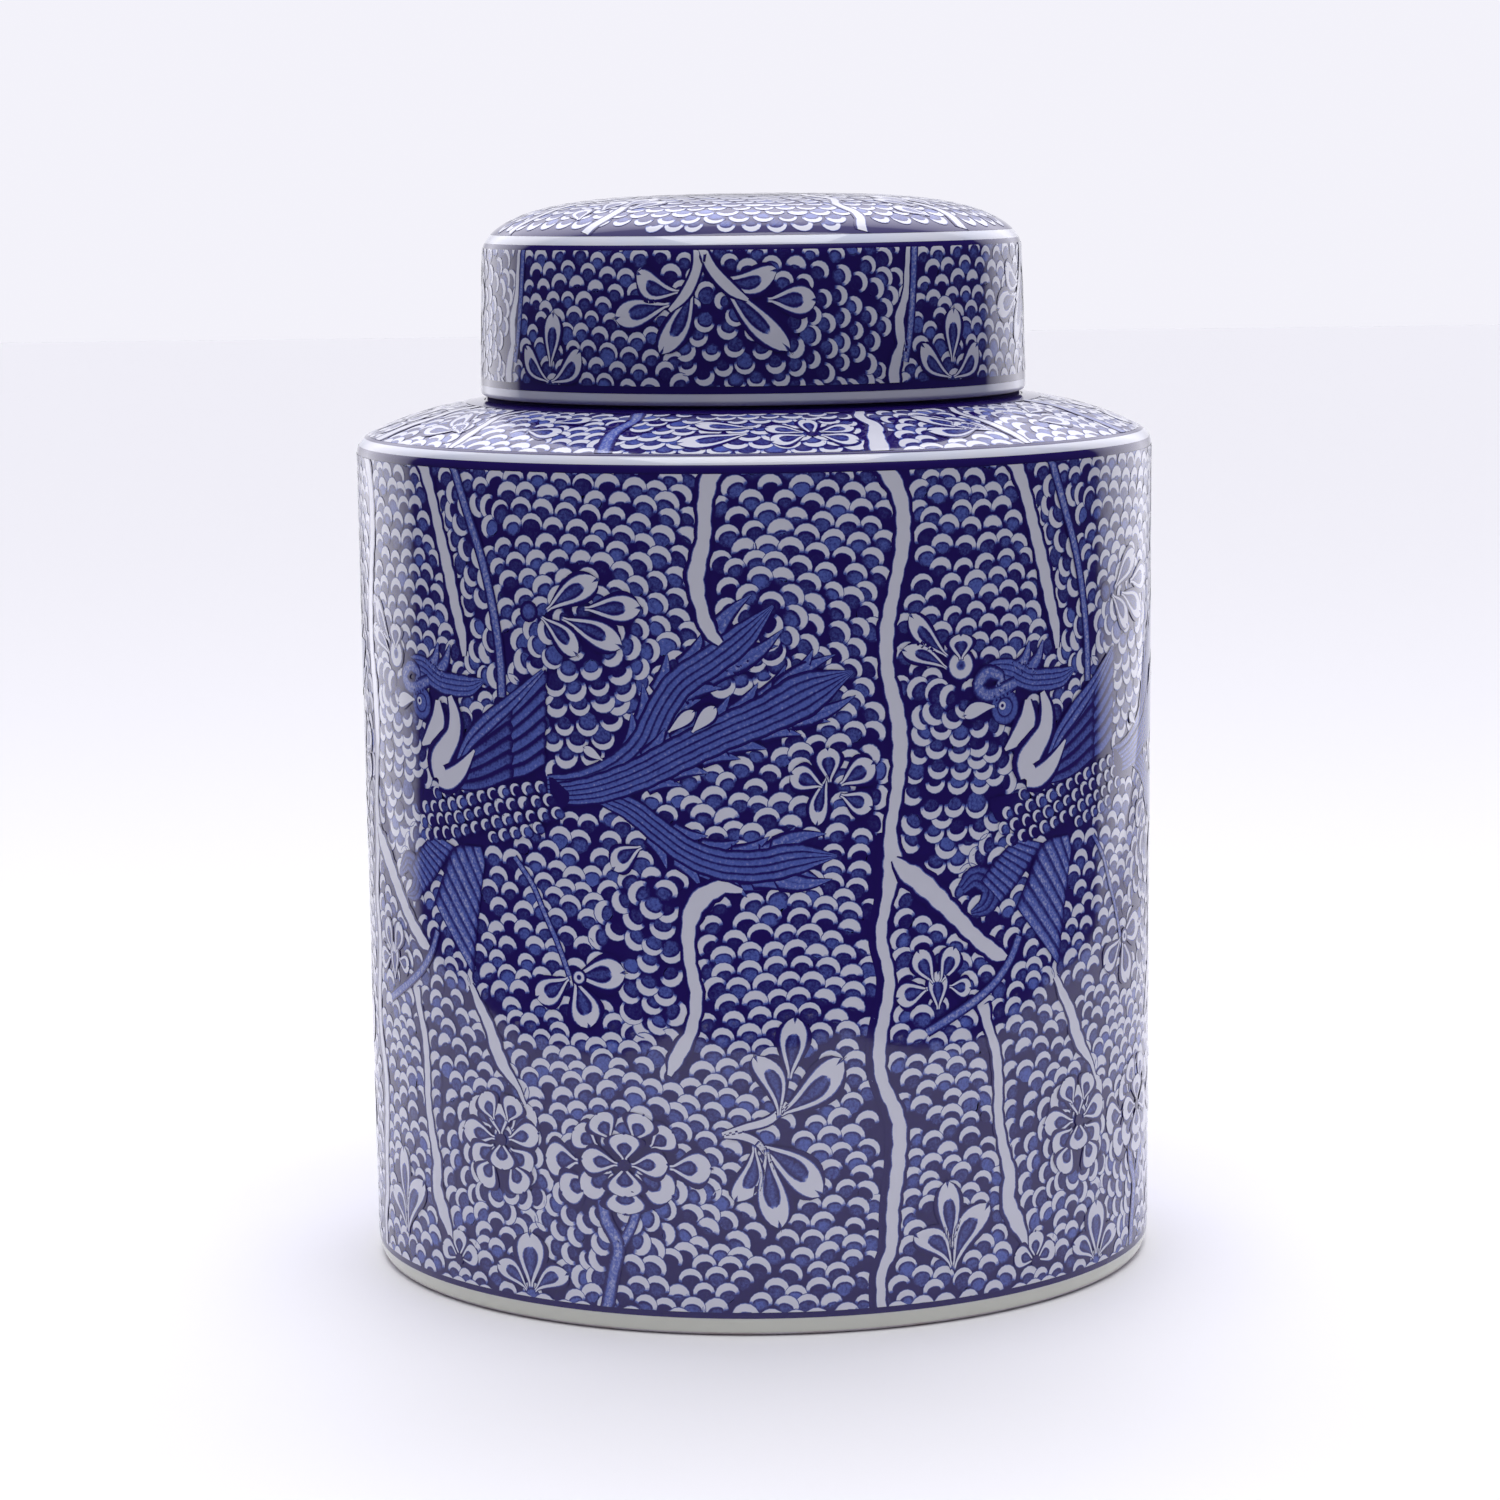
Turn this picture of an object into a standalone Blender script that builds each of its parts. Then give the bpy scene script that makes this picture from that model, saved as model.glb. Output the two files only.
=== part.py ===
"""Lidded porcelain ginger jar: a straight-sided round jar with a low domed shoulder and a neck, and a cap lid.

Metres, +Z up. The origin is the centre of the circle that the foot ring stands on, and +Z is the jar's own axis.
Both pieces are turned shapes: a profile in the X-Z half plane, carried once round Z.
"""

import math

import bpy

MM = 0.001
SEGMENTS = 64  # flats round each turned piece
ARC_STEP = math.radians(20)  # largest turn between two points of a profile's arc
GAP = 0.3  # clearance between the lid's rim and the seat it rests on

# Jar, in millimetres.
BODY_RADIUS = 100.0  # at the shoulder's edge
BASE_RADIUS = 98.9  # just above the foot: the wall tapers very slightly
WALL = 5.0
EDGE_RADIUS = 5.0  # rounding between wall and shoulder
EDGE_CENTRE_Z = 204.5
SHOULDER_RADIUS = 86.4  # of the shoulder's dome in section
SHOULDER_CENTRE = (59.5, 131.2)
SHOULDER_POINTS = 7
SEAT_Z = 218.1  # bare ring that carries the lid
SEAT_OUTER = 67.0
SEAT_STEP = 0.6  # how far out the glazed shoulder starts beyond the seat
NECK_OUTER = 61.5
NECK_INNER = 56.5
NECK_TOP_Z = 244.0
NECK_LIP = 1.4  # rounding of the neck's rim
THROAT_ROUNDING = 3.0  # where the shoulder's inside turns up into the neck
INNER_CORNER = 8.0  # where the wall's inside turns in under the shoulder
FLOOR_Z = 10.0
FLOOR_FILLET = 9.0
FOOT_OUTER = 96.4
FOOT_INNER = 88.0
FOOT_EDGE_Z = 5.0  # where the wall starts to round in towards the foot
FOOT_STEPS = 4
RECESS_RADIUS = 86.4
RECESS_EDGE_Z = 3.6
RECESS_CENTRE_Z = 5.0

# Lid, in millimetres.
LID_BOTTOM_Z = SEAT_Z + GAP
LID_SKIRT_RADIUS = 68.6  # at the rim
LID_TOP_RADIUS = 67.6  # where the crown starts
LID_WALL = 5.0
LID_CROWN_Z = 254.0  # where the side starts to turn in over the top
LID_CROWN_POWER = 3.6  # 2 would be an ellipse: the higher, the flatter the middle and the tighter the corner
LID_APEX_Z = 267.8
LID_RIM_ROUNDING = 1.3
CROWN_POINTS = 9

PAINTED_GLAZE = (0.055, 0.050, 0.270)  # cobalt scales under a clear glaze, as one mean colour
GLAZE_ROUGHNESS = 0.08


def arc(centre, radius, start, end, steps=None):
    """Points of an arc in the half plane, from start to end in degrees, counted from +X towards +Z."""
    start, end = math.radians(start), math.radians(end)
    steps = steps or max(2, math.ceil(abs(end - start) / ARC_STEP))
    angles = [start + (end - start) * i / steps for i in range(steps + 1)]
    return [(centre[0] + radius * math.cos(a), centre[1] + radius * math.sin(a)) for a in angles]


def slope_at(radius, centre_radius, arc_radius):
    """Degrees from horizontal to an arc's normal, at the distance radius from the jar's axis."""
    return math.degrees(math.acos((radius - centre_radius) / arc_radius))


def neck_profile():
    """Up the inside of the neck, over its rounded rim and down its outside."""
    lip_top = NECK_TOP_Z - NECK_LIP
    over_inside = arc((NECK_INNER + NECK_LIP, lip_top), NECK_LIP, 180, 90)
    over_outside = arc((NECK_OUTER - NECK_LIP, lip_top), NECK_LIP, 90, 0)
    return over_inside + over_outside + [(NECK_OUTER, SEAT_Z)]


def shoulder_profile():
    """From the seat ring out over the domed shoulder and round its edge into the wall."""
    edge_centre_r = BODY_RADIUS - EDGE_RADIUS
    edge_end = slope_at(edge_centre_r, SHOULDER_CENTRE[0], SHOULDER_RADIUS - EDGE_RADIUS)
    seat_end = slope_at(SEAT_OUTER + SEAT_STEP, SHOULDER_CENTRE[0], SHOULDER_RADIUS)
    dome = arc(SHOULDER_CENTRE, SHOULDER_RADIUS, seat_end, edge_end, SHOULDER_POINTS - 1)
    edge = arc((edge_centre_r, EDGE_CENTRE_Z), EDGE_RADIUS, edge_end, 0)
    return [(SEAT_OUTER, SEAT_Z)] + dome[:-1] + edge


def inner_shoulder_profile():
    """The same dome and edge seen from inside, one wall thickness in, from the wall up to the neck."""
    centre = (BODY_RADIUS - WALL - INNER_CORNER, EDGE_CENTRE_Z + EDGE_RADIUS - INNER_CORNER)
    edge = arc(centre, INNER_CORNER, 0, 60)
    dome_radius = SHOULDER_RADIUS - WALL
    start = slope_at(edge[-1][0] - INNER_CORNER / 2, SHOULDER_CENTRE[0], dome_radius)
    end = slope_at(NECK_INNER + THROAT_ROUNDING, SHOULDER_CENTRE[0], dome_radius)
    dome = arc(SHOULDER_CENTRE, dome_radius, start, end, SHOULDER_POINTS - 3)
    throat_centre = (NECK_INNER + THROAT_ROUNDING, dome[-1][1] + THROAT_ROUNDING)
    throat = arc(throat_centre, THROAT_ROUNDING, 270, 180)
    return edge + dome + throat[1:]


def foot_profile():
    """Down the wall, round into the foot ring, across it and up into the shallow recess below the jar."""
    depth = BASE_RADIUS - FOOT_OUTER
    turns = [math.radians(90 * i / FOOT_STEPS) for i in range(FOOT_STEPS + 1)]
    rounding = [(FOOT_OUTER + depth * math.cos(a), FOOT_EDGE_Z * (1 - math.sin(a))) for a in turns]
    recess = [(FOOT_INNER, 0.0), (RECESS_RADIUS, RECESS_EDGE_Z), (0.0, RECESS_CENTRE_Z)]
    return rounding + recess


def jar_profile():
    inner_radius = BASE_RADIUS - WALL
    fillet = arc((inner_radius - FLOOR_FILLET, FLOOR_Z + FLOOR_FILLET), FLOOR_FILLET, 270, 360)
    inside = [(0.0, FLOOR_Z)] + fillet
    return inside + inner_shoulder_profile() + neck_profile() + shoulder_profile() + foot_profile()


def crown(radius, low, apex):
    """The lid's top in section, from the axis out: a superellipse, flat in the middle, that ends upright."""
    turns = [math.radians(90 * i / (CROWN_POINTS - 1)) for i in range(CROWN_POINTS)]
    return [(radius * math.sin(t) ** (2 / LID_CROWN_POWER), low + (apex - low) * math.cos(t)) for t in turns]


def lid_profile():
    """From the apex out over the crown and down the side, round the rim and back up through the hollow."""
    rim = LID_RIM_ROUNDING
    skirt_inner = LID_SKIRT_RADIUS - LID_WALL
    outside = crown(LID_TOP_RADIUS, LID_CROWN_Z, LID_APEX_Z)
    rim_outside = arc((LID_SKIRT_RADIUS - rim, LID_BOTTOM_Z + rim), rim, 0, -90)
    rim_inside = arc((skirt_inner + rim, LID_BOTTOM_Z + rim), rim, 270, 180)
    hollow = crown(LID_TOP_RADIUS - LID_WALL, LID_CROWN_Z - LID_WALL, LID_APEX_Z - LID_WALL)
    return outside + rim_outside + rim_inside + hollow[::-1]


def glaze(name, colour, roughness):
    material = bpy.data.materials.new(name)
    material.use_nodes = True
    shader = material.node_tree.nodes["Principled BSDF"]
    shader.inputs["Base Color"].default_value = (*colour, 1.0)
    shader.inputs["Roughness"].default_value = roughness
    shader.inputs["Metallic"].default_value = 0.0
    return material


def turned(name, profile, material):
    """One closed solid: the profile, whose outer side runs from top to bottom, carried round Z."""
    mesh = bpy.data.meshes.new(name)
    points = [(r * MM, 0.0, z * MM) for r, z in profile]
    mesh.from_pydata(points, [(i, i + 1) for i in range(len(points) - 1)], [])
    mesh.materials.append(material)
    piece = bpy.data.objects.new(name, mesh)
    bpy.context.scene.collection.objects.link(piece)
    screw = piece.modifiers.new("turn", "SCREW")
    screw.axis = "Z"
    screw.steps = SEGMENTS
    screw.render_steps = SEGMENTS
    screw.use_smooth_shade = True
    screw.use_merge_vertices = True
    screw.merge_threshold = 1e-5
    return piece


def main():
    for old in list(bpy.data.objects):
        bpy.data.objects.remove(old)
    turned("jar_body", jar_profile(), glaze("jar_glaze", PAINTED_GLAZE, GLAZE_ROUGHNESS))
    turned("lid", lid_profile(), glaze("lid_glaze", PAINTED_GLAZE, GLAZE_ROUGHNESS))


main()
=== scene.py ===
"""Looks of a lidded porcelain ginger jar, painted under the glaze with a ground like fish scales.

The porcelain is turned. The painting is laid out flat, in millimetres, on each part of the jar: its
wall, its shoulder, the lid's side and the lid's top. There u runs round the jar and v up it. The sheets
of colour are then wrapped on the turned surface, a little above it and above one another.
"""

import math
from collections import deque

import bpy
import numpy as np
from bpy.props import FloatProperty, FloatVectorProperty, IntProperty, PointerProperty
from bpy.types import Operator, Panel, PropertyGroup
from mathutils import Euler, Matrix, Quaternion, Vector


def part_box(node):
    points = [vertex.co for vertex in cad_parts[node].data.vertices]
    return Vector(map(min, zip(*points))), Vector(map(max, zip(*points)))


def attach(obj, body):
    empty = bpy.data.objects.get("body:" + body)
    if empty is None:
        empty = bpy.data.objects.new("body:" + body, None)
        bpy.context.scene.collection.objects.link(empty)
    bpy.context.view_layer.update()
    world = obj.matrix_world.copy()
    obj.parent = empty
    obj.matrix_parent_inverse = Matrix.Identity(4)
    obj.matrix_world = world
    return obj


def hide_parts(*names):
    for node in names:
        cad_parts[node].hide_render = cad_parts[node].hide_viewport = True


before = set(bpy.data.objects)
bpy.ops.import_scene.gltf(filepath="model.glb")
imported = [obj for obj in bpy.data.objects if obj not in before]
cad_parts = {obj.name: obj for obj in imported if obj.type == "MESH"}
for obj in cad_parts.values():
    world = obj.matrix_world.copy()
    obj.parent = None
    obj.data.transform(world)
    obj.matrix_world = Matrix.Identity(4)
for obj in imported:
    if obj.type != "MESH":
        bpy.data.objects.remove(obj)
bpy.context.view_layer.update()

bl_info = {
    "name": "Scale-Ground Ginger Jar",
    "version": (1, 0, 0),
    "blender": (4, 5, 0),
    "location": "View3D > Sidebar > Ginger Jar",
    "description": "Builds a lidded porcelain jar painted in underglaze cobalt, with its studio",
    "category": "Add Mesh",
}

MM = 0.001
JAR_LOW, JAR_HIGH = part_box("jar_body")
LID_LOW, LID_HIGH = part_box("lid")

# Driving sizes, in millimetres, from the frame.
BODY_RADIUS = (JAR_HIGH.x - JAR_LOW.x) / 2 / MM
NECK_TOP = JAR_HIGH.z / MM
LID_BOTTOM = LID_LOW.z / MM
LID_APEX = LID_HIGH.z / MM
LID_RADIUS = (LID_HIGH.x - LID_LOW.x) / 2 / MM

QUARTERS = 4  # the painting repeats this often round the jar

# Turned profile of the jar.
BASE_RADIUS = BODY_RADIUS - 1.1
WALL_THICKNESS = 5.0
EDGE_RADIUS = 5.0
EDGE_Z = 204.5
DOME_RADIUS = 86.4
DOME_CENTRE = (59.5, 131.2)
SEAT_Z = LID_BOTTOM - 0.3
SEAT_OUTER = 67.0
SEAT_SHADE_WIDTH = 0.8  # width of the seat's outer edge that is painted full cobalt with the step beside it, as painted shade in the gap under the lid's rim
SEAT_STEP = 0.6  # the step's top lies this far out from its foot
NECK_OUTER = 61.5
NECK_INNER = 56.5
NECK_LIP = 1.4
FLOOR_Z = 10.0
FLOOR_FILLET = 9.0
FOOT_OUTER = 96.4
FOOT_INNER = 88.0
FOOT_EDGE_Z = 5.0
RECESS_RADIUS = 86.4
RECESS_Z = (3.6, 5.0)  # at the recess's edge and at its centre

# Turned profile of the lid, whose top is a superellipse in section.
LID_TOP_RADIUS = LID_RADIUS - 1.0
LID_WALL = 5.0
CROWN_Z = 254.0
CROWN_POWER = 3.6
LID_RIM = 1.3

# Edges of the painted bands.
WALL_BAND = (4.5, 206.6)
SHOULDER_BAND = (67.8, 98.0)  # radii
LID_BAND = (221.3, 256.4)
LID_TOP_BAND = 65.5  # radius
LID_FOOT_SHADE_RING = 4.6  # width of the dark ring on the shoulder round the lid's foot: the band's dark cobalt edge and a painted shadow under the lid's rim
SHOULDER_REFERENCE = 84.0  # radius at which u on the shoulder is a true length

# Height of each sheet of colour above the porcelain, in millimetres.
GROUND_LIFT = 0.04
SCALE_LIFT = 0.10
SCALE_LEAN = 0.04  # rise of a scale from its place to its arch, one row on
GARDEN_LIFT = 0.17
LAYER = 0.035  # from one layer of the garden to the next

# Strength of the cobalt: 0 is bare white and 1 is the full dark wash.
WHITE, WASH, DARK = 0.0, 0.5, 1.0


# --------------------------------------------------------------------------------------------------
# Turned profiles
# --------------------------------------------------------------------------------------------------


def arc(centre, radius, start, end, step=6.0):
    """Points of a circle's arc from start to end, in degrees from the outward direction towards up."""
    count = max(2, math.ceil(abs(end - start) / step)) + 1
    angles = np.radians(np.linspace(start, end, count))
    return np.stack([centre[0] + radius * np.cos(angles), centre[1] + radius * np.sin(angles)], axis=1)


def normal_angle(radius, centre_radius, arc_radius):
    """Degrees from horizontal to an arc's normal at the distance radius from the axis."""
    return math.degrees(math.acos((radius - centre_radius) / arc_radius))


def run(*stretches):
    """Stretches of a profile joined end to end, without points that repeat."""
    points = np.concatenate([np.atleast_2d(np.asarray(s, float)) for s in stretches])
    steps = np.linalg.norm(np.diff(points, axis=0), axis=1)
    return points[np.concatenate([[True], steps > 1e-4])]


def outer_jar_profile():
    """From the seat's step out over the shoulder, round its edge, down the wall and under to the foot
    ring."""
    edge_r = BODY_RADIUS - EDGE_RADIUS
    edge_end = normal_angle(edge_r, DOME_CENTRE[0], DOME_RADIUS - EDGE_RADIUS)
    seat_end = normal_angle(SEAT_OUTER + SEAT_STEP, DOME_CENTRE[0], DOME_RADIUS)
    shoulder = arc(DOME_CENTRE, DOME_RADIUS, seat_end, edge_end, 2.0)
    edge = arc((edge_r, EDGE_Z), EDGE_RADIUS, edge_end, 0)
    wall = np.linspace((BODY_RADIUS, EDGE_Z), (BASE_RADIUS, FOOT_EDGE_Z), 9)
    turns = np.radians(np.linspace(0, 90, 9))
    depth = BASE_RADIUS - FOOT_OUTER
    foot = np.stack([FOOT_OUTER + depth * np.cos(turns), FOOT_EDGE_Z * (1 - np.sin(turns))], axis=1)
    return run(shoulder, edge, wall, foot)


def inner_jar_profile():
    """From the middle of the floor out and up the wall, in under the shoulder and up through the
    neck."""
    inner_base = BASE_RADIUS - WALL_THICKNESS
    inner_top = BODY_RADIUS - WALL_THICKNESS
    corner = EDGE_RADIUS + 3.0
    fillet = arc((inner_base - FLOOR_FILLET, FLOOR_Z + FLOOR_FILLET), FLOOR_FILLET, 270, 360)
    edge = arc((inner_top - corner, EDGE_Z - 3.0), corner, 0, 60)
    inner_dome = DOME_RADIUS - WALL_THICKNESS
    start = normal_angle(edge[-1][0] - 4.0, DOME_CENTRE[0], inner_dome)
    end = normal_angle(NECK_INNER + 3.5, DOME_CENTRE[0], inner_dome)
    dome = arc(DOME_CENTRE, inner_dome, start, end, 4.0)
    throat = arc((NECK_INNER + 3.0, DOME_CENTRE[1] + inner_dome + 3.0), 3.0, 270, 180)
    return run([(0.0, FLOOR_Z)], fillet, edge, dome, throat, [(NECK_INNER, NECK_TOP - NECK_LIP - 1.0)])


def neck_profile():
    """Over the neck's rounded rim, down its outside and over the seat: the part left bare of glaze."""
    over = arc((NECK_INNER + NECK_LIP, NECK_TOP - NECK_LIP), NECK_LIP, 180, 90)
    back = arc((NECK_OUTER - NECK_LIP, NECK_TOP - NECK_LIP), NECK_LIP, 90, 0)
    seat = [(NECK_OUTER, SEAT_Z), (SEAT_OUTER - SEAT_SHADE_WIDTH, SEAT_Z)]
    return run([(NECK_INNER, NECK_TOP - NECK_LIP - 1.0)], over, back, seat)


def seat_step_shade_profile():
    """Over the seat's outer edge and up the step to the shoulder. It is painted full cobalt, as painted
    shade in the dark gap under the lid's rim.
    """
    return run(neck_profile()[-1:], [(SEAT_OUTER, SEAT_Z)], outer_jar_profile()[:1])


def recess_profile():
    """Across the foot ring's sole and up into the shallow recess under the jar."""
    return run(
        [(FOOT_OUTER, 0.0), (FOOT_INNER, 0.0), (RECESS_RADIUS + 0.5, RECESS_Z[0] - 1.2)],
        [(RECESS_RADIUS - 1.0, RECESS_Z[0]), (0.0, RECESS_Z[1])],
    )


def crown_height(radius):
    """Height of the lid's top at a distance from the axis."""
    share = np.clip(np.asarray(radius, float) / LID_TOP_RADIUS, 0, 1)
    return CROWN_Z + (LID_APEX - CROWN_Z) * np.sqrt(1 - share**CROWN_POWER)


def crown_tilt(radius):
    """Sine of the angle that the crown's normal leans outwards."""
    share = np.clip(np.asarray(radius, float) / LID_TOP_RADIUS, 1e-6, 0.9999)
    fall = (LID_APEX - CROWN_Z) * CROWN_POWER * share ** (CROWN_POWER - 1)
    slope = fall / (2 * LID_TOP_RADIUS * np.sqrt(1 - share**CROWN_POWER))
    return slope / np.sqrt(1 + slope**2)


def crown_profile(inset, count=24):
    """The crown in section from the axis out, moved in from the lid's outside by the inset."""
    turns = np.linspace(0, math.pi / 2, count)
    radius = (LID_TOP_RADIUS - inset) * np.sin(turns) ** (2 / CROWN_POWER)
    return np.stack([radius, CROWN_Z - inset + (LID_APEX - CROWN_Z) * np.cos(turns)], axis=1)


def lid_profile():
    """Outside of the lid, from the middle of its crown out and down to the rim."""
    side = np.linspace((LID_TOP_RADIUS, CROWN_Z), (LID_RADIUS, LID_BOTTOM + LID_RIM), 6)
    rim = arc((LID_RADIUS - LID_RIM, LID_BOTTOM + LID_RIM), LID_RIM, 0, -60, 15)
    return run(crown_profile(0.0, 48), side, rim)


def lid_rim_profile():
    """The bare rim that rests on the jar's seat."""
    outer = arc((LID_RADIUS - LID_RIM, LID_BOTTOM + LID_RIM), LID_RIM, -60, -90, 15)
    inner = arc((LID_RADIUS - LID_WALL + LID_RIM, LID_BOTTOM + LID_RIM), LID_RIM, 270, 180, 15)
    return run(outer, inner, [(LID_RADIUS - LID_WALL, LID_BOTTOM + 4.0)])


def lid_hollow_profile():
    """Inside of the lid, from above the bare rim up the skirt and in under the crown."""
    return run([(LID_RADIUS - LID_WALL, LID_BOTTOM + 4.0)], crown_profile(LID_WALL)[::-1])


# --------------------------------------------------------------------------------------------------
# Meshes
# --------------------------------------------------------------------------------------------------


def mesh_object(name, points, faces, materials, paint=None, normals=None):
    """A smooth mesh at the origin from arrays in millimetres, with its paint strength as an
    attribute."""
    mesh = bpy.data.meshes.new(name)
    mesh.from_pydata((points * MM).tolist(), [], faces.tolist() if hasattr(faces, "tolist") else faces)
    for material in materials:
        mesh.materials.append(material)
    mesh.shade_smooth()
    if paint is not None:
        layer = mesh.attributes.new("paint", "FLOAT", "POINT")
        layer.data.foreach_set("value", np.ascontiguousarray(paint, np.float32))
    if normals is not None:
        mesh.normals_split_custom_set_from_vertices(normals.tolist())
    piece = bpy.data.objects.new(name, mesh)
    bpy.context.scene.collection.objects.link(piece)
    return piece


def turned_object(name, stretches, segments):
    """A closed turned shape. Each stretch is (profile, material): its points are carried round Z on a
    grid of (angle, profile point). A point on the axis is one vertex, and stretches share the points
    where they meet."""
    profile = run(*[points for points, _ in stretches])
    slots = []
    for index, (points, _) in enumerate(stretches):
        slots += [index] * (len(run(points)) - 1)
    angles = 2 * math.pi * np.arange(segments) / segments
    on_axis = profile[:, 0] < 1e-6
    vertices, rows = [], []
    for (radius, height), pole in zip(profile, on_axis):
        first = sum(map(len, vertices))
        if pole:
            vertices.append(np.array([[0.0, 0.0, height]]))
            rows.append(np.full(segments, first))
        else:
            east, north = radius * np.sin(angles), -radius * np.cos(angles)
            vertices.append(np.stack([east, north, np.full(segments, height)], axis=1))
            rows.append(first + np.arange(segments))
    faces, face_slots = [], []
    for i, slot in enumerate(slots):
        low, high = rows[i], rows[i + 1]
        corners = np.stack([low, np.roll(low, -1), np.roll(high, -1), high], axis=1).tolist()
        if on_axis[i]:
            corners = [c[1:] for c in corners]
        elif on_axis[i + 1]:
            corners = [c[:3] for c in corners]
        faces += corners
        face_slots += [slot] * segments
    points = np.concatenate(vertices)
    materials = [material for _, material in stretches]
    piece = mesh_object(name, points, faces, materials, np.ones(len(points)))
    piece.data.polygons.foreach_set("material_index", np.array(face_slots, np.int32))
    return piece


class Zone:
    """A part of the turned surface that is painted. place(u, v, lift) gives points and outward
    normals."""

    def __init__(self, unit, low, high, place):
        self.unit = unit  # width of one repeat along u, or None where the painting doesn't repeat
        self.low = low
        self.high = high
        self.place = place


def on_wall(u, v, lift):
    """u round the body and v up it: the radius follows the wall's slight taper and then the shoulder's
    edge."""
    angle = u / BODY_RADIUS
    radius = BASE_RADIUS + (BODY_RADIUS - BASE_RADIUS) * (v - FOOT_EDGE_Z) / (EDGE_Z - FOOT_EDGE_Z)
    top = EDGE_RADIUS - np.sqrt(np.clip(EDGE_RADIUS**2 - np.clip(v - EDGE_Z, 0, None) ** 2, 0, None))
    tilt = np.clip(v - EDGE_Z, 0, None) / EDGE_RADIUS
    out = np.minimum(radius, BODY_RADIUS) - top
    across = np.sqrt(1 - tilt**2)
    sine, cosine = np.sin(angle), -np.cos(angle)
    radial = out + lift * across
    points = np.stack([radial * sine, radial * cosine, v + lift * tilt], axis=-1)
    normals = np.stack([across * sine, across * cosine, tilt], axis=-1)
    return points, normals


def on_shoulder(u, v, lift):
    """u round the shoulder at its middle radius and v inwards from the band's outer edge, on the
    dome."""
    angle = u / SHOULDER_REFERENCE
    radius = SHOULDER_BAND[1] - v
    edge_r = BODY_RADIUS - EDGE_RADIUS
    over_edge = (radius - edge_r) / EDGE_RADIUS > (edge_r - DOME_CENTRE[0]) / (DOME_RADIUS - EDGE_RADIUS)
    tilt = np.where(over_edge, (radius - edge_r) / EDGE_RADIUS, (radius - DOME_CENTRE[0]) / DOME_RADIUS)
    rise = np.sqrt(1 - tilt**2)
    height = np.where(over_edge, EDGE_Z + EDGE_RADIUS * rise, DOME_CENTRE[1] + DOME_RADIUS * rise)
    sine, cosine = np.sin(angle), -np.cos(angle)
    radial = radius + lift * tilt
    points = np.stack([radial * sine, radial * cosine, height + lift * rise], axis=-1)
    normals = np.stack([tilt * sine, tilt * cosine, rise], axis=-1)
    return points, normals


LID_SIDE_OVER = 5.0  # the lid's side is painted at most this far up its crown


def on_lid_side(u, v, lift):
    """u round the lid's side and v up it, and on over the start of the crown."""
    angle = u / LID_RADIUS
    share = (v - LID_BOTTOM - LID_RIM) / (CROWN_Z - LID_BOTTOM - LID_RIM)
    side = LID_RADIUS - (LID_RADIUS - LID_TOP_RADIUS) * np.clip(share, 0, 1)
    over = np.clip(v - CROWN_Z, 0, LID_SIDE_OVER) / (LID_APEX - CROWN_Z)
    radius = side * (1 - over**2) ** (1 / CROWN_POWER)
    tilt = np.where(v > CROWN_Z, np.sqrt(1 - crown_tilt(radius) ** 2), 0.0)
    across = np.sqrt(1 - tilt**2)
    sine, cosine = np.sin(angle), -np.cos(angle)
    radial = radius + lift * across
    points = np.stack([radial * sine, radial * cosine, v + lift * tilt], axis=-1)
    normals = np.stack([across * sine, across * cosine, tilt], axis=-1)
    return points, normals


def on_lid_top(u, v, lift):
    """u and v as plain plane coordinates over the lid, +v away from the front, dropped on its crown."""
    radius = np.maximum(np.hypot(u, v), 1e-9)
    tilt = crown_tilt(radius)
    rise = np.sqrt(1 - tilt**2)
    east, north = u / radius, v / radius
    height = crown_height(radius) + lift * rise
    points = np.stack([u + lift * tilt * east, v + lift * tilt * north, height], axis=-1)
    normals = np.stack([tilt * east, tilt * north, rise], axis=-1)
    return points, normals


# Width of one repeat round each zone.
WALL_UNIT = 2 * math.pi * BODY_RADIUS / QUARTERS
SHOULDER_UNIT = 2 * math.pi * SHOULDER_REFERENCE / QUARTERS
LID_UNIT = 2 * math.pi * LID_RADIUS / QUARTERS

WALL = Zone(WALL_UNIT, WALL_BAND[0] + 1.5, WALL_BAND[1] - 2.0, on_wall)
SHOULDER = Zone(SHOULDER_UNIT, 0.9, SHOULDER_BAND[1] - SHOULDER_BAND[0], on_shoulder)
LID_SIDE = Zone(LID_UNIT, LID_BAND[0] + 1.8, LID_BAND[1] - 1.2, on_lid_side)
LID_TOP = Zone(None, -LID_TOP_BAND, LID_TOP_BAND, on_lid_top)


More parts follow.
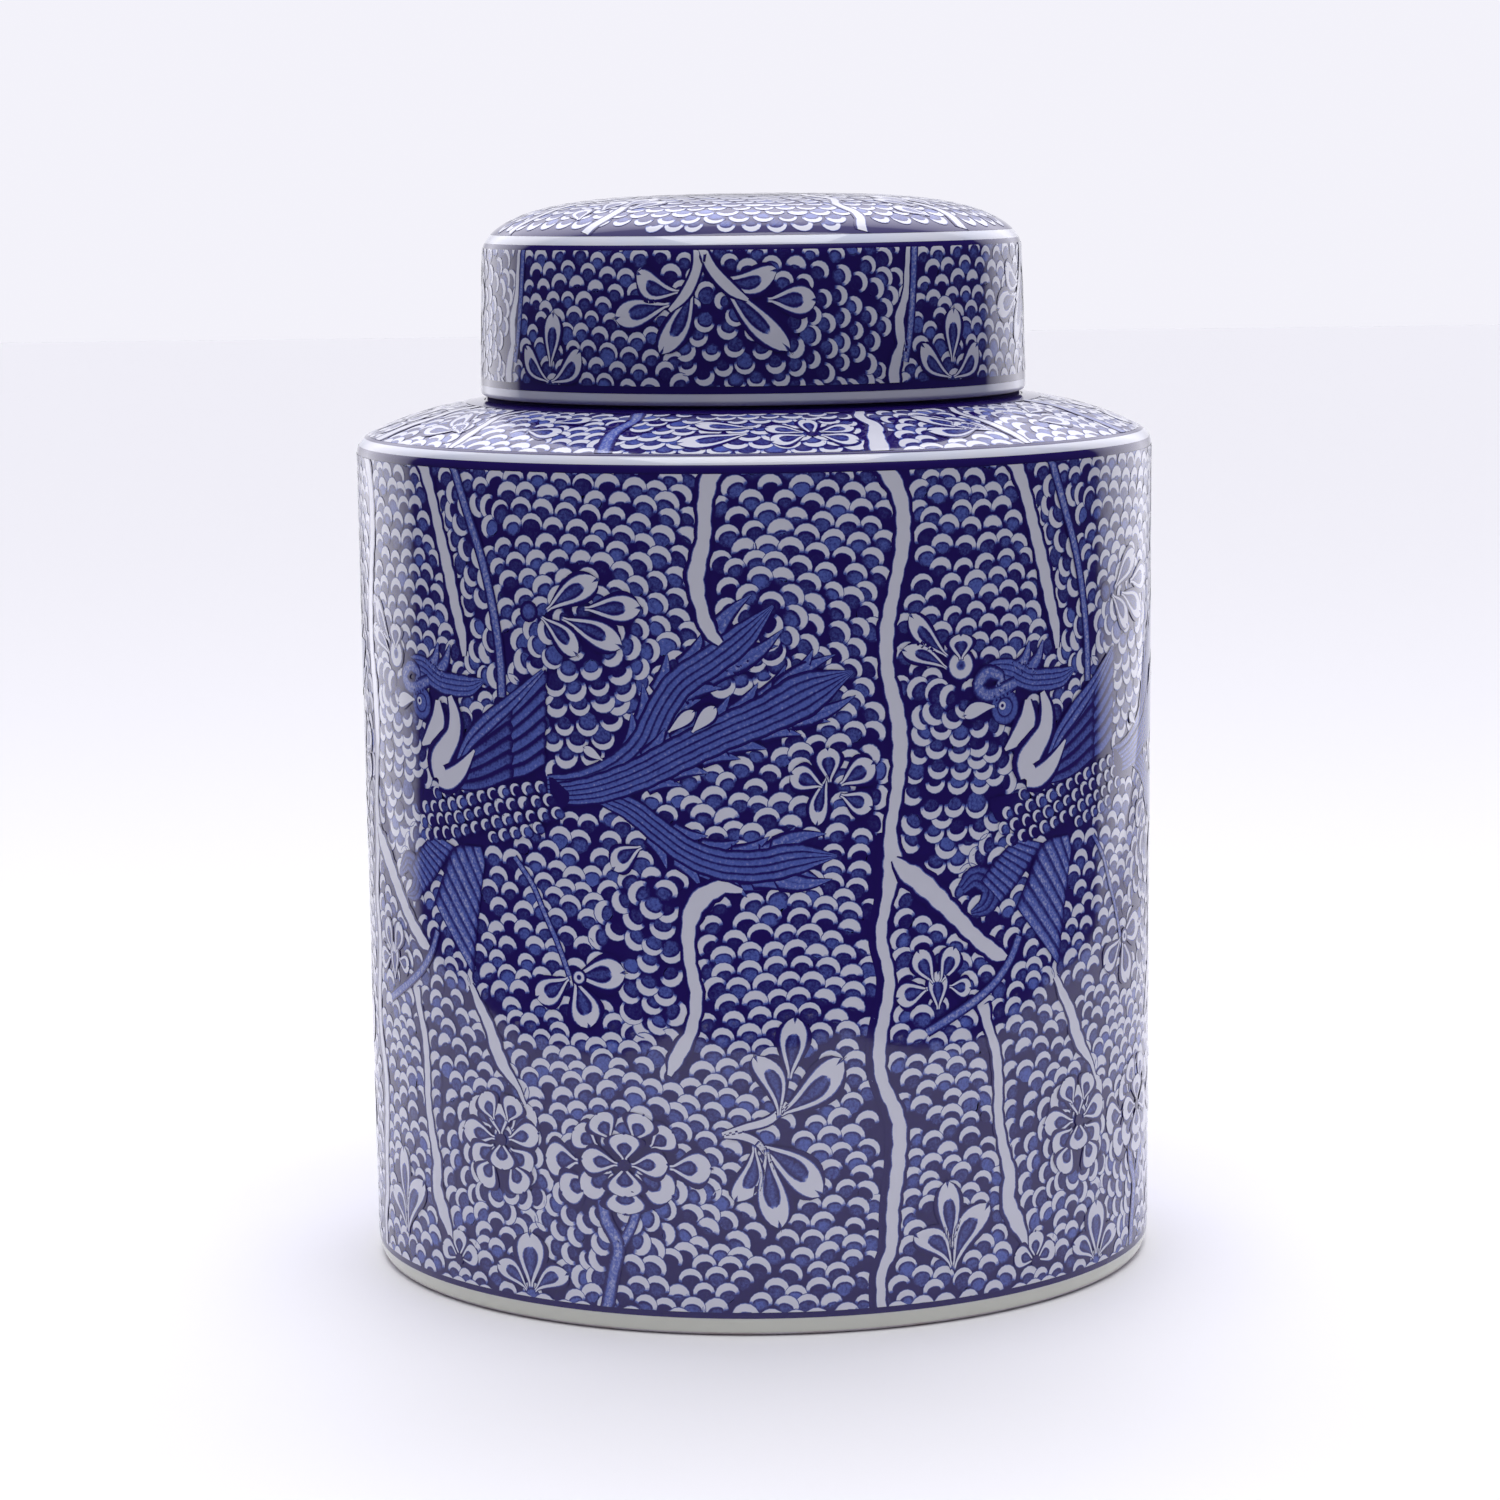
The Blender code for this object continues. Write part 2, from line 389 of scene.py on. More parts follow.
class Painting:
    """Sheets of colour on one zone: grids of (u, v), with a paint strength and a height at each
    point."""

    def __init__(self, zone):
        self.zone = zone
        self.points = []
        self.paint = []
        self.lift = []
        self.quads = []
        self.count = 0
        self.outlines = []  # of the shapes that cover what lies under them

    def add(self, u, v, paint, lift, covers=False):
        """Adds one grid, or many of one size where the first axis counts them. covers takes one
        grid."""
        u, v = np.asarray(u, float), np.asarray(v, float)
        if u.ndim == 2:
            u, v = u[None], v[None]
        paint = np.broadcast_to(paint, u.shape)
        number, rows, columns = u.shape
        index = np.arange(rows * columns).reshape(rows, columns)
        corners = index[:-1, :-1], index[:-1, 1:], index[1:, 1:], index[1:, :-1]
        cell = np.stack(corners, axis=-1).reshape(-1, 4)
        flat_u, flat_v = u.reshape(number, -1)[0], v.reshape(number, -1)[0]
        ring_u, ring_v = flat_u[cell], flat_v[cell]
        area = (ring_u * np.roll(ring_v, -1, axis=1) - ring_v * np.roll(ring_u, -1, axis=1)).sum()
        if area < 0:
            cell = cell[:, ::-1]
        offsets = self.count + rows * columns * np.arange(number)
        self.quads.append((cell[None] + offsets[:, None, None]).reshape(-1, 4))
        self.points.append(np.stack([u.reshape(-1), v.reshape(-1)], axis=1))
        self.paint.append(paint.reshape(-1))
        self.lift.append(np.broadcast_to(lift, u.shape).reshape(-1))
        self.count += u.size
        if covers:
            first = np.concatenate([u[0, 0], u[0, :, -1], u[0, -1, ::-1], u[0, ::-1, 0]])
            second = np.concatenate([v[0, 0], v[0, :, -1], v[0, -1, ::-1], v[0, ::-1, 0]])
            self.outlines.append(np.stack([first, second], axis=1))

    def add_all(self, other, shift=0.0, lift=None):
        """Takes in another painting's grids, moved on by shift, and all at one height where lift is
        given."""
        self.points += [points + (shift, 0.0) for points in other.points]
        self.paint += other.paint
        level = [np.full(len(points), lift) for points in other.points]
        self.lift += other.lift if lift is None else level
        self.quads += [quads + self.count for quads in other.quads]
        self.count += other.count

    def hidden(self, u, v):
        """Whether each point lies under a shape that covers, counting crossings of a ray along u."""
        inside = np.zeros(len(u), bool)
        shifts = (0.0,) if self.zone.unit is None else (-self.zone.unit, 0.0, self.zone.unit)
        for outline in self.outlines:
            start, end = outline, np.roll(outline, -1, axis=0)
            for shift in shifts:
                x = u[:, None] + shift
                y = v[:, None]
                crosses = (start[:, 1] > y) != (end[:, 1] > y)
                rise = end[:, 1] - start[:, 1]
                rise = np.where(np.abs(rise) < 1e-9, 1e-9, rise)
                at = start[:, 0] + (y - start[:, 1]) * (end[:, 0] - start[:, 0]) / rise
                inside |= (crosses & (x < at)).sum(axis=1) % 2 == 1
        return inside

    def piece(self, name, material, quarter=0):
        """The painting as an object, turned on by whole repeats."""
        points = np.concatenate(self.points)
        shift = 0.0 if self.zone.unit is None else quarter * self.zone.unit
        low, high = self.zone.low, self.zone.high
        v = points[:, 1] if self.zone.unit is None else np.clip(points[:, 1], low, high)
        places, normals = self.zone.place(points[:, 0] + shift, v, np.concatenate(self.lift))
        faces = np.concatenate(self.quads)
        return mesh_object(name, places, faces, [material], np.concatenate(self.paint), normals)


def smooth_path(points, count):
    """A curve through the points: a Catmull-Rom spline, sampled at count places evenly by length."""
    knots = np.asarray(points, float)
    ends = np.concatenate([[2 * knots[0] - knots[1]], knots, [2 * knots[-1] - knots[-2]]])
    t = np.linspace(0, 1, 12, endpoint=False)[:, None]
    parts = []
    for a, b, c, d in zip(ends, ends[1:], ends[2:], ends[3:]):
        square, cube = 2 * a - 5 * b + 4 * c - d, 3 * b - a - 3 * c + d
        parts.append(0.5 * (2 * b + (c - a) * t + square * t**2 + cube * t**3))
    fine = np.concatenate(parts + [knots[-1:]])
    lengths = np.concatenate([[0], np.cumsum(np.linalg.norm(np.diff(fine[:, :2], axis=0), axis=1))])
    wanted = np.linspace(0, lengths[-1], count)
    return np.stack([np.interp(wanted, lengths, fine[:, k]) for k in range(fine.shape[1])], axis=1)


def ribbon(painting, path, widths, columns, layer=0, spacing=1.6, ripple=0.0):
    """A stroke: the path's points moved sideways by each column's share of the half width. columns is a
    list of (share, paint), spacing is the step along the path, and ripple scallops the edges."""
    knots = np.column_stack([np.asarray(path, float), np.broadcast_to(widths, len(path))])
    rough = np.linalg.norm(np.diff(knots[:, :2], axis=0), axis=1).sum()
    line = smooth_path(knots, max(6, int(rough / spacing)))
    along = np.gradient(line[:, :2], axis=0)
    along /= np.maximum(np.linalg.norm(along, axis=1, keepdims=True), 1e-9)
    across = np.stack([-along[:, 1], along[:, 0]], axis=1)
    shares = np.array([share for share, _ in columns])
    paints = np.array([paint for _, paint in columns])
    steps = np.arange(len(line))
    scallop = 1 + ripple * np.stack(
        [np.abs(np.sin(steps * 0.93 + 0.4)) - 0.6, np.abs(np.sin(steps * 0.81 + 1.7)) - 0.6], axis=1
    )
    side = np.where(shares[None, :] > 0, scallop[:, :1], scallop[:, 1:])
    reach = line[:, 2:3] * shares[None, :] * side
    u = line[:, :1] + across[:, :1] * reach
    v = line[:, 1:2] + across[:, 1:2] * reach
    painting.add(u, v, paints[None, :], GARDEN_LIFT + LAYER * layer, covers=True)


# Columns of a stroke: share of its half width, and paint.
WHITE_STROKE = [(-1.5, DARK), (-1.08, DARK), (-0.86, WHITE), (0.0, WHITE)]
WHITE_STROKE += [(-share, paint) for share, paint in WHITE_STROKE[2::-1]]
BLUE_STROKE = [(-1.7, DARK), (-1.1, 0.8), (-0.8, 0.42), (0.0, 0.36)]
BLUE_STROKE += [(-share, paint) for share, paint in BLUE_STROKE[2::-1]]


def feather_columns(count, places, light, deeper, line, low=0.0, high=1.0):
    """Columns (share, paint) of count feathers side by side from low to high. Each is a wash between
    two fine lines, a little deeper on its far side, and places says where in the feather its four
    columns lie."""
    wide = (high - low) / count
    paints = (line, light, light + deeper, line)
    return [
        (low + (high - low) * i / count + place * wide, paint)
        for i in range(count)
        for place, paint in zip(places, paints)
    ]


def strands(count, light=0.46, line=0.92):
    """Columns of a plume: count strands of wash side by side inside a dark edge."""
    columns = feather_columns(count, (0.07, 0.26, 0.74, 0.95), light, 0.1, line, -1.0, 1.0)
    return [(-1.12, DARK), *columns, (1.0, line), (1.12, DARK)]


def petal_frame(base, tip):
    """A function that turns (share of the way from base to tip, distance to the left) into (u, v)."""
    base, tip = np.asarray(base, float), np.asarray(tip, float)
    along = tip - base
    length = np.linalg.norm(along)
    along = along / length

    def place(share, left):
        """The place at this share of the way and this far to the left."""
        u = base[0] + along[0] * share * length - along[1] * left
        v = base[1] + along[1] * share * length + along[0] * left
        return u, v

    return place


# Rows of a petal as shares of its length, closer where its outline turns.
PETAL_ROWS = np.array(
    [0.0, 0.05, 0.11, 0.18, 0.27, 0.36, 0.45, 0.54, 0.62, 0.7, 0.78, 0.86, 0.93, 0.98, 1.0, 1.05]
)
DROP_WIDTH = 0.52  # of the dark drop in a petal's middle, as a share of the petal's
DROP_PAINT, DROP_CORE_PAINT = 0.97, 0.74
NO_DROP = (0.9, 0.9)  # a heart with no length


def petal(painting, base, tip, half_width, bend=0.0, heart=(0.03, 0.78), layer=0, notch=0.1):
    """A petal: along s from base to tip, half its width is w sin(pi s^1.8)^0.6 beyond a narrow stem,
    and its middle line bows by bend. Between the shares in heart lies a dark drop, DROP_WIDTH sin(pi
    q^1.5)^0.7 of the petal's width, and notch is the depth of the dent in the tip."""
    place = petal_frame(base, tip)
    s = PETAL_ROWS[:, None]
    inside = np.clip(s, 0, 1)
    stem = 0.16 * (1 - inside) ** 0.5 + 0.22 * inside * (1 - inside)
    form = np.maximum(np.sin(np.pi * inside**1.8) ** 0.6, stem)
    reach = half_width * np.maximum(form * np.where(inside > 0.97, 0.8, 1.0), 0.05)
    q = np.clip((inside - heart[0]) / max(heart[1] - heart[0], 1e-9), 0, 1)
    wide = np.maximum(DROP_WIDTH * np.sin(np.pi * q**1.5) ** 0.7, 0.01)
    outer = np.ones_like(s)
    t = np.concatenate([1.3 * outer, outer, 0.86 * outer, wide + 0.13, wide, wide / 3], axis=1)
    t = np.concatenate([-t, t[:, ::-1]], axis=1)
    dip = notch * np.exp(-((t / 0.3) ** 2)) * np.clip((inside - 0.7) / 0.3, 0, 1)
    u, v = place(s - dip, reach * t + bend * np.sin(np.pi * inside))
    edge = (np.abs(t) >= 1.0) | (s >= 1.0) | (s <= 0.0)
    dark = (np.abs(t) <= wide + 1e-6) & (q > 0) & (q < 1)
    core = dark & (np.abs(t) < 0.5 * wide) & (q > 0.3) & (q < 0.9)
    paint = np.where(edge, DARK, np.where(core, DROP_CORE_PAINT, np.where(dark, DROP_PAINT, WHITE)))
    painting.add(u, v, paint, GARDEN_LIFT + LAYER * layer, covers=True)


BARB_ROWS = np.array([0.0, 0.03, 0.15, 0.3, 0.45, 0.6, 0.75, 0.88, 0.97, 1.0])
BARB_COLUMNS = np.array([-1.35, -1.0, -0.7, -0.14, 0.0, 0.14, 0.7, 1.0, 1.35])


def barb(painting, base, tip, half_width, bend, layer, shade=0.45):
    """A pointed tongue of wash with a dark edge and a dark middle line: half its width is w (1 - s)^0.8
    from a rounded base, and its middle line bows by bend."""
    place = petal_frame(base, tip)
    s = BARB_ROWS[:, None]
    t = BARB_COLUMNS[None, :]
    reach = half_width * np.maximum((1 - s) ** 0.8 * np.clip(s / 0.1, 0.2, 1), 0.03)
    paint = np.array([DARK, 0.95, shade, shade + 0.05, 0.66, shade + 0.05, shade, 0.95, DARK])
    u, v = place(s + 0 * t, reach * t + bend * np.sin(np.pi * s))
    painting.add(u, v, np.where(s >= 1, DARK, paint[None, :]), GARDEN_LIFT + LAYER * layer, covers=True)


def disc(painting, centre, radius, rings, layer=0):
    """A round dot: rings is a list of (share of the radius, paint) from the middle out."""
    turn = np.linspace(0, 2 * math.pi, 17)[:, None]
    shares = np.array([share for share, _ in rings])[None, :]
    paints = np.array([paint for _, paint in rings])[None, :]
    u = centre[0] + radius * shares * np.cos(turn)
    v = centre[1] + radius * shares * np.sin(turn)
    painting.add(u, v, paints, GARDEN_LIFT + LAYER * layer)
    painting.outlines.append(np.stack([u[:-1, -1], v[:-1, -1]], axis=1))


CURVE_STEPS = 60


def loft(painting, first, second, feathers, light, line, layer, rows, teeth=0.0):
    """Feathers side by side between two curves: each runs straight from a place on the first curve to
    the same share of the second, with a fine line between neighbours. teeth makes their ends stand out
    by turns."""
    columns = feather_columns(feathers, (0.06, 0.2, 0.62, 0.9), light, 0.06, line)
    shares, paints = np.array([(0.0, DARK), *columns, (1.0, DARK)]).T
    one, other = smooth_path(first, CURVE_STEPS), smooth_path(second, CURVE_STEPS)
    at = np.linspace(0, 1, CURVE_STEPS)
    start = np.stack([np.interp(shares, at, one[:, k]) for k in range(2)], axis=1)
    end = np.stack([np.interp(shares, at, other[:, k]) for k in range(2)], axis=1)
    bumps = 1 + teeth * np.abs(np.sin(np.pi * shares * feathers))
    down = np.linspace(0, 1, rows)[:, None]
    u = start[:, 0] + (end[:, 0] - start[:, 0]) * down * bumps
    v = start[:, 1] + (end[:, 1] - start[:, 1]) * down * bumps
    paint = np.broadcast_to(paints, u.shape).copy()
    paint[0] = paint[-1] = DARK
    painting.add(u, v, paint, GARDEN_LIFT + LAYER * layer, covers=True)


# --------------------------------------------------------------------------------------------------
# The ground of scales
# --------------------------------------------------------------------------------------------------

WAVE_LEAN = 0.17  # how far the slow waves lean the arches aside
WAVES = 5  # slow waves in one repeat
WAVE_LENGTH = 25 * 2 * math.pi  # of a wave where the painting doesn't repeat
WAVE_DRIFT = (2.1, 19)  # the waves swing by this much, over this many millimetres of v
EDGE_PULL, EDGE_REACH = 1.3, 6.0  # how strongly a branch turns the scales, and how near to it


class Flow:
    """Which way the scales' arches point, in unit vectors: along rest in slow waves, or outwards where
    rest is None, and turned by what lies near."""

    def __init__(self, zone, rest=(0.0, 1.0), pulls=(), bursts=(), edges=None):
        self.zone = zone
        self.rest = rest
        # u, v, reach, direction along u and v, strength
        self.pulls = np.array(pulls, float).reshape(-1, 6)
        # u, v, reach, strength: away from the point
        self.bursts = np.array(bursts, float).reshape(-1, 4)
        # points of the branches, to which the scales turn
        self.edges = edges

    def wrapped(self, distance):
        """The distance along u to the nearest repeat."""
        if self.zone.unit is None:
            return distance
        return (distance + self.zone.unit / 2) % self.zone.unit - self.zone.unit / 2

    def heading(self, u, v):
        """The direction at one place."""
        if self.rest is None:
            size = max(math.hypot(u, v), 1e-6)
            x, y = u / size, v / size
        else:
            wave = 2 * math.pi * u / (self.zone.unit or WAVE_LENGTH)
            x, y = self.rest
            x += WAVE_LEAN * math.sin(WAVES * wave + WAVE_DRIFT[0] * math.sin(v / WAVE_DRIFT[1]))
        if len(self.pulls):
            du, dv = self.wrapped(self.pulls[:, 0] - u), self.pulls[:, 1] - v
            near = self.pulls[:, 5] * np.exp(-(du**2 + dv**2) / self.pulls[:, 2] ** 2)
            x += float((near * self.pulls[:, 3]).sum())
            y += float((near * self.pulls[:, 4]).sum())
        if len(self.bursts):
            du, dv = self.wrapped(u - self.bursts[:, 0]), v - self.bursts[:, 1]
            away = np.sqrt(du**2 + dv**2) + 1e-6
            near = self.bursts[:, 3] * np.exp(-((away / self.bursts[:, 2]) ** 2))
            x += float((near * du / away).sum())
            y += float((near * dv / away).sum())
        if self.edges is not None:
            du, dv = self.wrapped(self.edges[:, 0] - u), self.edges[:, 1] - v
            gap = du**2 + dv**2
            i = int(np.argmin(gap))
            away = math.sqrt(gap[i]) + 1e-6
            near = EDGE_PULL * math.exp(-((away / EDGE_REACH) ** 2))
            x += near * du[i] / away
            y += near * dv[i] / away
        size = math.hypot(x, y) or 1.0
        return x / size, y / size


# Square of the least distance between two scales, in spacings: as they grow, and when holes are filled.
CROWDED_GROWING, CROWDED_FILLING = 0.60, 0.46
# To the places beside a scale, in pitches to the side and rows ahead.
SCALE_STEPS = ((1, 0), (-1, 0), (0.5, 1), (-0.5, 1), (0.5, -1), (-0.5, -1))
ROW_SHARE = 0.87  # a row counts as this much of a spacing, so that all six places are about as near
SEARCH_STEP = 0.4  # of the spacing, when holes are looked for


def grow_scales(flow, first, pitch, row, allowed):
    """Lays scales from a first one outwards, as rows of (u, v, heading along u, heading along v). Each
    offers the places beside it, at its own angle, and a place is taken where allowed says so and no
    scale lies too near. Then the holes that are left take a scale where one fits a little closer."""
    zone = flow.zone
    cells = {}
    laid, waiting = [], deque([first])
    around = max(1, int(zone.unit / pitch)) if zone.unit else None

    def cell_of(u, v):
        """Column and line of the cell that holds a place."""
        column = math.floor(u / zone.unit * around) if zone.unit else math.floor(u / pitch)
        return column, int(v // pitch)

    def key_of(column, line):
        """The cell's key, the same for a column and its repeats."""
        return (column % around if zone.unit else column), line

    def crowded(u, v, x, y, least):
        """Whether a scale lies nearer to (u, v) than it may, measured along and across its heading."""
        column, line = cell_of(u, v)
        for key in (key_of(column + i, line + j) for i in (-1, 0, 1) for j in (-1, 0, 1)):
            for other_u, other_v in cells.get(key, ()):
                du, dv = flow.wrapped(u - other_u), v - other_v
                side = (du * y - dv * x) / pitch
                ahead = ROW_SHARE * (du * x + dv * y) / row
                if side * side + ahead * ahead < least:
                    return True
        return False

    def settle(u, v, least):
        """Lays a scale at (u, v) unless it isn't allowed there or another is too near."""
        if zone.unit:
            u %= zone.unit
        if not allowed(u, v):
            return
        x, y = flow.heading(u, v)
        if crowded(u, v, x, y, least):
            return
        laid.append((u, v, x, y))
        cells.setdefault(key_of(*cell_of(u, v)), []).append((u, v))
        for side, ahead in SCALE_STEPS:
            waiting.append(beside(u, v, x, y, pitch * side, row * ahead))

    while waiting:
        settle(*waiting.popleft(), CROWDED_GROWING)
    places = np.array(laid)
    for v in np.arange(places[:, 1].min(), places[:, 1].max(), SEARCH_STEP * row):
        for u in np.arange(places[:, 0].min(), places[:, 0].max(), SEARCH_STEP * pitch):
            settle(u, v, CROWDED_FILLING)
    return np.array(laid)


def beside(u, v, x, y, side, ahead):
    """The place that lies side millimetres to the right of (u, v) and ahead of it, seen along the
    heading."""
    return u + side * y + ahead * x, v - side * x + ahead * y


# Places on a scale that tell whether the garden hides it, in pitches to the side and rows ahead.
SCALE_PROBES = ((0.0, 0.2), (0.0, 0.8), (-0.38, 0.1), (0.38, 0.1), (-0.25, 0.5), (0.25, 0.5))


def not_hidden(scales, pitch, row, garden):
    """The scales that show beside the garden: at least two of their probes are free."""
    u, v, x, y = scales.T
    covered = np.zeros(len(u))
    for side, ahead in SCALE_PROBES:
        covered += garden.hidden(*beside(u, v, x, y, pitch * side, row * ahead))
    return scales[covered < len(SCALE_PROBES) - 1]


SCALE_TURNS = np.radians([-90, -45, -14, 1, 21, 44, 67, 90, 113, 136, 159, 179, 194, 225, 270])
SCALE_TIPS = (3, 11)  # the first and the last turn where the crescent is white
# Columns of a scale from its rim in: share of the way to the crescent's inner edge, and paint.
CRESCENT = ((0.0, DARK), (0.17, WHITE), (0.86, WHITE), (1.0, 0.97))
TIP_PAINT = 0.3
RIM_WIDTH, RIM_ARCH, RIM_TAIL = 0.51, 0.84, 0.72  # half width in pitches, then heights in rows
INNER_WIDTH, INNER_ARCH = 0.315, 0.27  # the same for the inner ellipse
INNER_TAIL = 2.0  # its lower half is this many times as high as its arch
ALL_WHITE = 0.05  # share of the scales that are nearly all white
ALL_WHITE_WIDTH, ALL_WHITE_ARCH = 0.18, 0.05  # the inner ellipse of those
SINK = 0.04  # the inner ellipse lies this far below the rim's middle, in rows
DAB_SINK = 0.12  # and the dab's middle this far


def lay_scales(painting, scales, pitch, row, rng, fill=1.0):
    """Puts a scale at each place: a grid of (turn, depth) round the place. Its upper rim is half an
    ellipse, a white crescent lies between that and a smaller, lower ellipse, and inside is a dab of
    wash. The lower half is dark and tucks in under the next row: the whole scale leans, with its arch
    lifted, as a shingle does. fill is how much of its width a scale's arch takes."""
    u, v, x, y = scales.T
    count, turns = len(u), len(SCALE_TURNS)

    def vary(middle, spread, low, high):
        """A value of its own for each scale."""
        return rng.normal(middle, spread, count).clip(low, high)[:, None, None]

    sway = rng.normal(0, 0.12, count)
    x, y = x * np.cos(sway) - y * np.sin(sway), x * np.sin(sway) + y * np.cos(sway)
    size, lean = vary(1.0, 0.055, 0.88, 1.12), vary(0, 0.05, -0.1, 0.1)
    body = vary(1.0, 0.17, 0.6, 1.4)
    dab = vary(0.76, 0.13, 0.55, 0.97)
    core = vary(0.70, 0.14, 0.35, 0.95)
    aside = vary(0, 0.035 * pitch, -0.08 * pitch, 0.08 * pitch)
    full = rng.random(count)[:, None, None] < ALL_WHITE
    cosine, sine = np.cos(SCALE_TURNS)[None, :, None], np.sin(SCALE_TURNS)[None, :, None]
    rim_x = RIM_WIDTH * fill * pitch * cosine
    rim_y = row * np.where(sine > 0, RIM_ARCH * fill, RIM_TAIL) * sine
    inner_x = np.where(full, ALL_WHITE_WIDTH, INNER_WIDTH / body**0.5) * fill * pitch * cosine
    inner_arch = np.where(full, ALL_WHITE_ARCH, INNER_ARCH / body) * row
    inner_y = inner_arch * np.where(sine > 0, 1.0, INNER_TAIL) * sine - SINK * row
    shares = np.array([share for share, _ in CRESCENT])[None, None, :]
    grid_x = rim_x + (inner_x - rim_x) * shares
    grid_y = rim_y + (inner_y - rim_y) * shares
    dab_x = [inner_x * core + aside, 0 * inner_x + aside]
    dab_y = [(inner_y + SINK * row) * core - DAB_SINK * row, 0 * inner_y - DAB_SINK * row]
    grid_x = np.concatenate([grid_x, *dab_x], axis=2)
    grid_y = np.concatenate([grid_y, *dab_y], axis=2)
    grid_x = (grid_x + lean * grid_y) * size
    grid_y = grid_y * size
    paint = np.empty((count, turns, len(CRESCENT) + 2))
    paint[:, :, : len(CRESCENT)] = [p for _, p in CRESCENT]
    paint[:, : SCALE_TIPS[0], :2] = paint[:, SCALE_TIPS[1] + 1 :, :2] = DARK
    paint[:, : SCALE_TIPS[0], 2:] = paint[:, SCALE_TIPS[1] + 1 :, 2:] = (dab + DARK) / 2
    paint[:, SCALE_TIPS, 1:3] = TIP_PAINT
    paint[:, :, len(CRESCENT) :] = dab
    u, v, x, y = (column[:, None, None] for column in (u, v, x, y))
    lift = SCALE_LIFT + SCALE_LEAN * grid_y / row + vary(0, 0.004, -0.01, 0.01)
    painting.add(*beside(u, v, x, y, grid_x, grid_y), paint, lift)


def painted_ground(flow, first, pitch, row, rng, allowed, garden, fill=1.0):
    """A painting of the zone's scales, grown from the first one, without those that the garden
    hides."""
    ground = Painting(flow.zone)
    scales = not_hidden(grow_scales(flow, first, pitch, row, allowed), pitch, row, garden)
    lay_scales(ground, scales, pitch, row, rng, fill)
    return ground


# --------------------------------------------------------------------------------------------------
# The garden on the wall: branches, flowers and the long-tailed bird, in millimetres of the flat wall
# --------------------------------------------------------------------------------------------------

# Each branch: its points from top to bottom, and half its width at each.
WALL_BRANCHES = (
    (
        (
            (30, 207), (34.5, 198), (35, 188), (33, 178), (31, 168), (31, 158), (33.5, 147),
            (34, 138), (33, 129), (31.5, 120), (32, 112), (30.5, 104), (29, 95), (31, 84),
            (28.5, 70), (29, 61), (33, 51), (33, 41), (31.5, 30), (31, 20), (28.5, 14), (28.5, 5),
        ),
        (
            2.4, 1.8, 1.8, 1.5, 1.8, 1.6, 1.9, 1.9, 1.5, 1.5, 2.4, 1.4, 1.4, 1.4, 1.6, 1.5, 1.8,
            1.8, 1.6, 1.5, 1.2, 1.2,
        ),
    ),
    (
        (
            (32.4, 113.6), (34.4, 111.2), (37.6, 108.8), (42, 105), (48, 99), (54, 93), (60, 88.5),
            (63.5, 87),
        ),
        (0.7, 1.9, 2.5, 2.4, 2.0, 1.8, 1.8, 0.5),
    ),
    (
        (
            (-9.5, 207), (-11.5, 198), (-11.8, 190), (-13.8, 181), (-12.8, 174), (-11, 168.5),
            (-8.3, 165.3),
        ),
        (2.4, 1.7, 1.6, 2.0, 1.5, 1.6, 0.7),
    ),
    (
        (
            (-4, 107.2), (-9, 108), (-14.5, 104.5), (-16.8, 98), (-16.5, 90), (-15.2, 82),
            (-16.5, 74), (-20, 67.5), (-22, 63),
        ),
        (0.5, 1.7, 2.3, 1.7, 1.4, 1.5, 1.4, 1.8, 0.6),
    ),
    (
        ((-91.5, 206), (-88, 198), (-85, 189), (-82, 180), (-79.8, 172), (-77.6, 165), (-77, 160)),
        (2.2, 1.6, 1.7, 1.9, 1.7, 1.5, 0.6),
    ),
    (
        (
            (-77.5, 80.5), (-74.5, 75.5), (-71.5, 71), (-69, 65), (-66, 60.5), (-63, 57.5),
            (-60.5, 53),
        ),
        (0.7, 1.3, 1.5, 1.9, 1.4, 0.8, 0.4),
    ),
    (
        (
            (-101, 76.5), (-99.5, 71), (-97.3, 65), (-96.5, 57), (-96.5, 49), (-95, 41), (-93, 34),
            (-93.5, 28), (-91, 22.5), (-88.5, 18), (-87.5, 15),
        ),
        (1.7, 1.2, 1.3, 1.3, 1.3, 1.4, 1.8, 2.0, 2.2, 1.2, 0.5),
    ),
)

WALL_STEMS = (
    (((-80, 207), (-75, 195), (-70, 183), (-67, 172), (-65.2, 161), (-64.8, 151)), 0.9),
    (((-62, 113), (-57, 107), (-53.5, 100), (-50, 93), (-47, 85.5)), 0.5),
    (((40.5, 71.5), (47, 74.5), (54, 78), (60, 82), (64.5, 87), (67, 92)), 0.8),
    (((-38.7, 5), (-37, 14), (-35.5, 21), (-38.5, 27), (-39.5, 32)), 1.1),
    (((-35.5, 20), (-32, 26), (-30, 32)), 0.8),
)

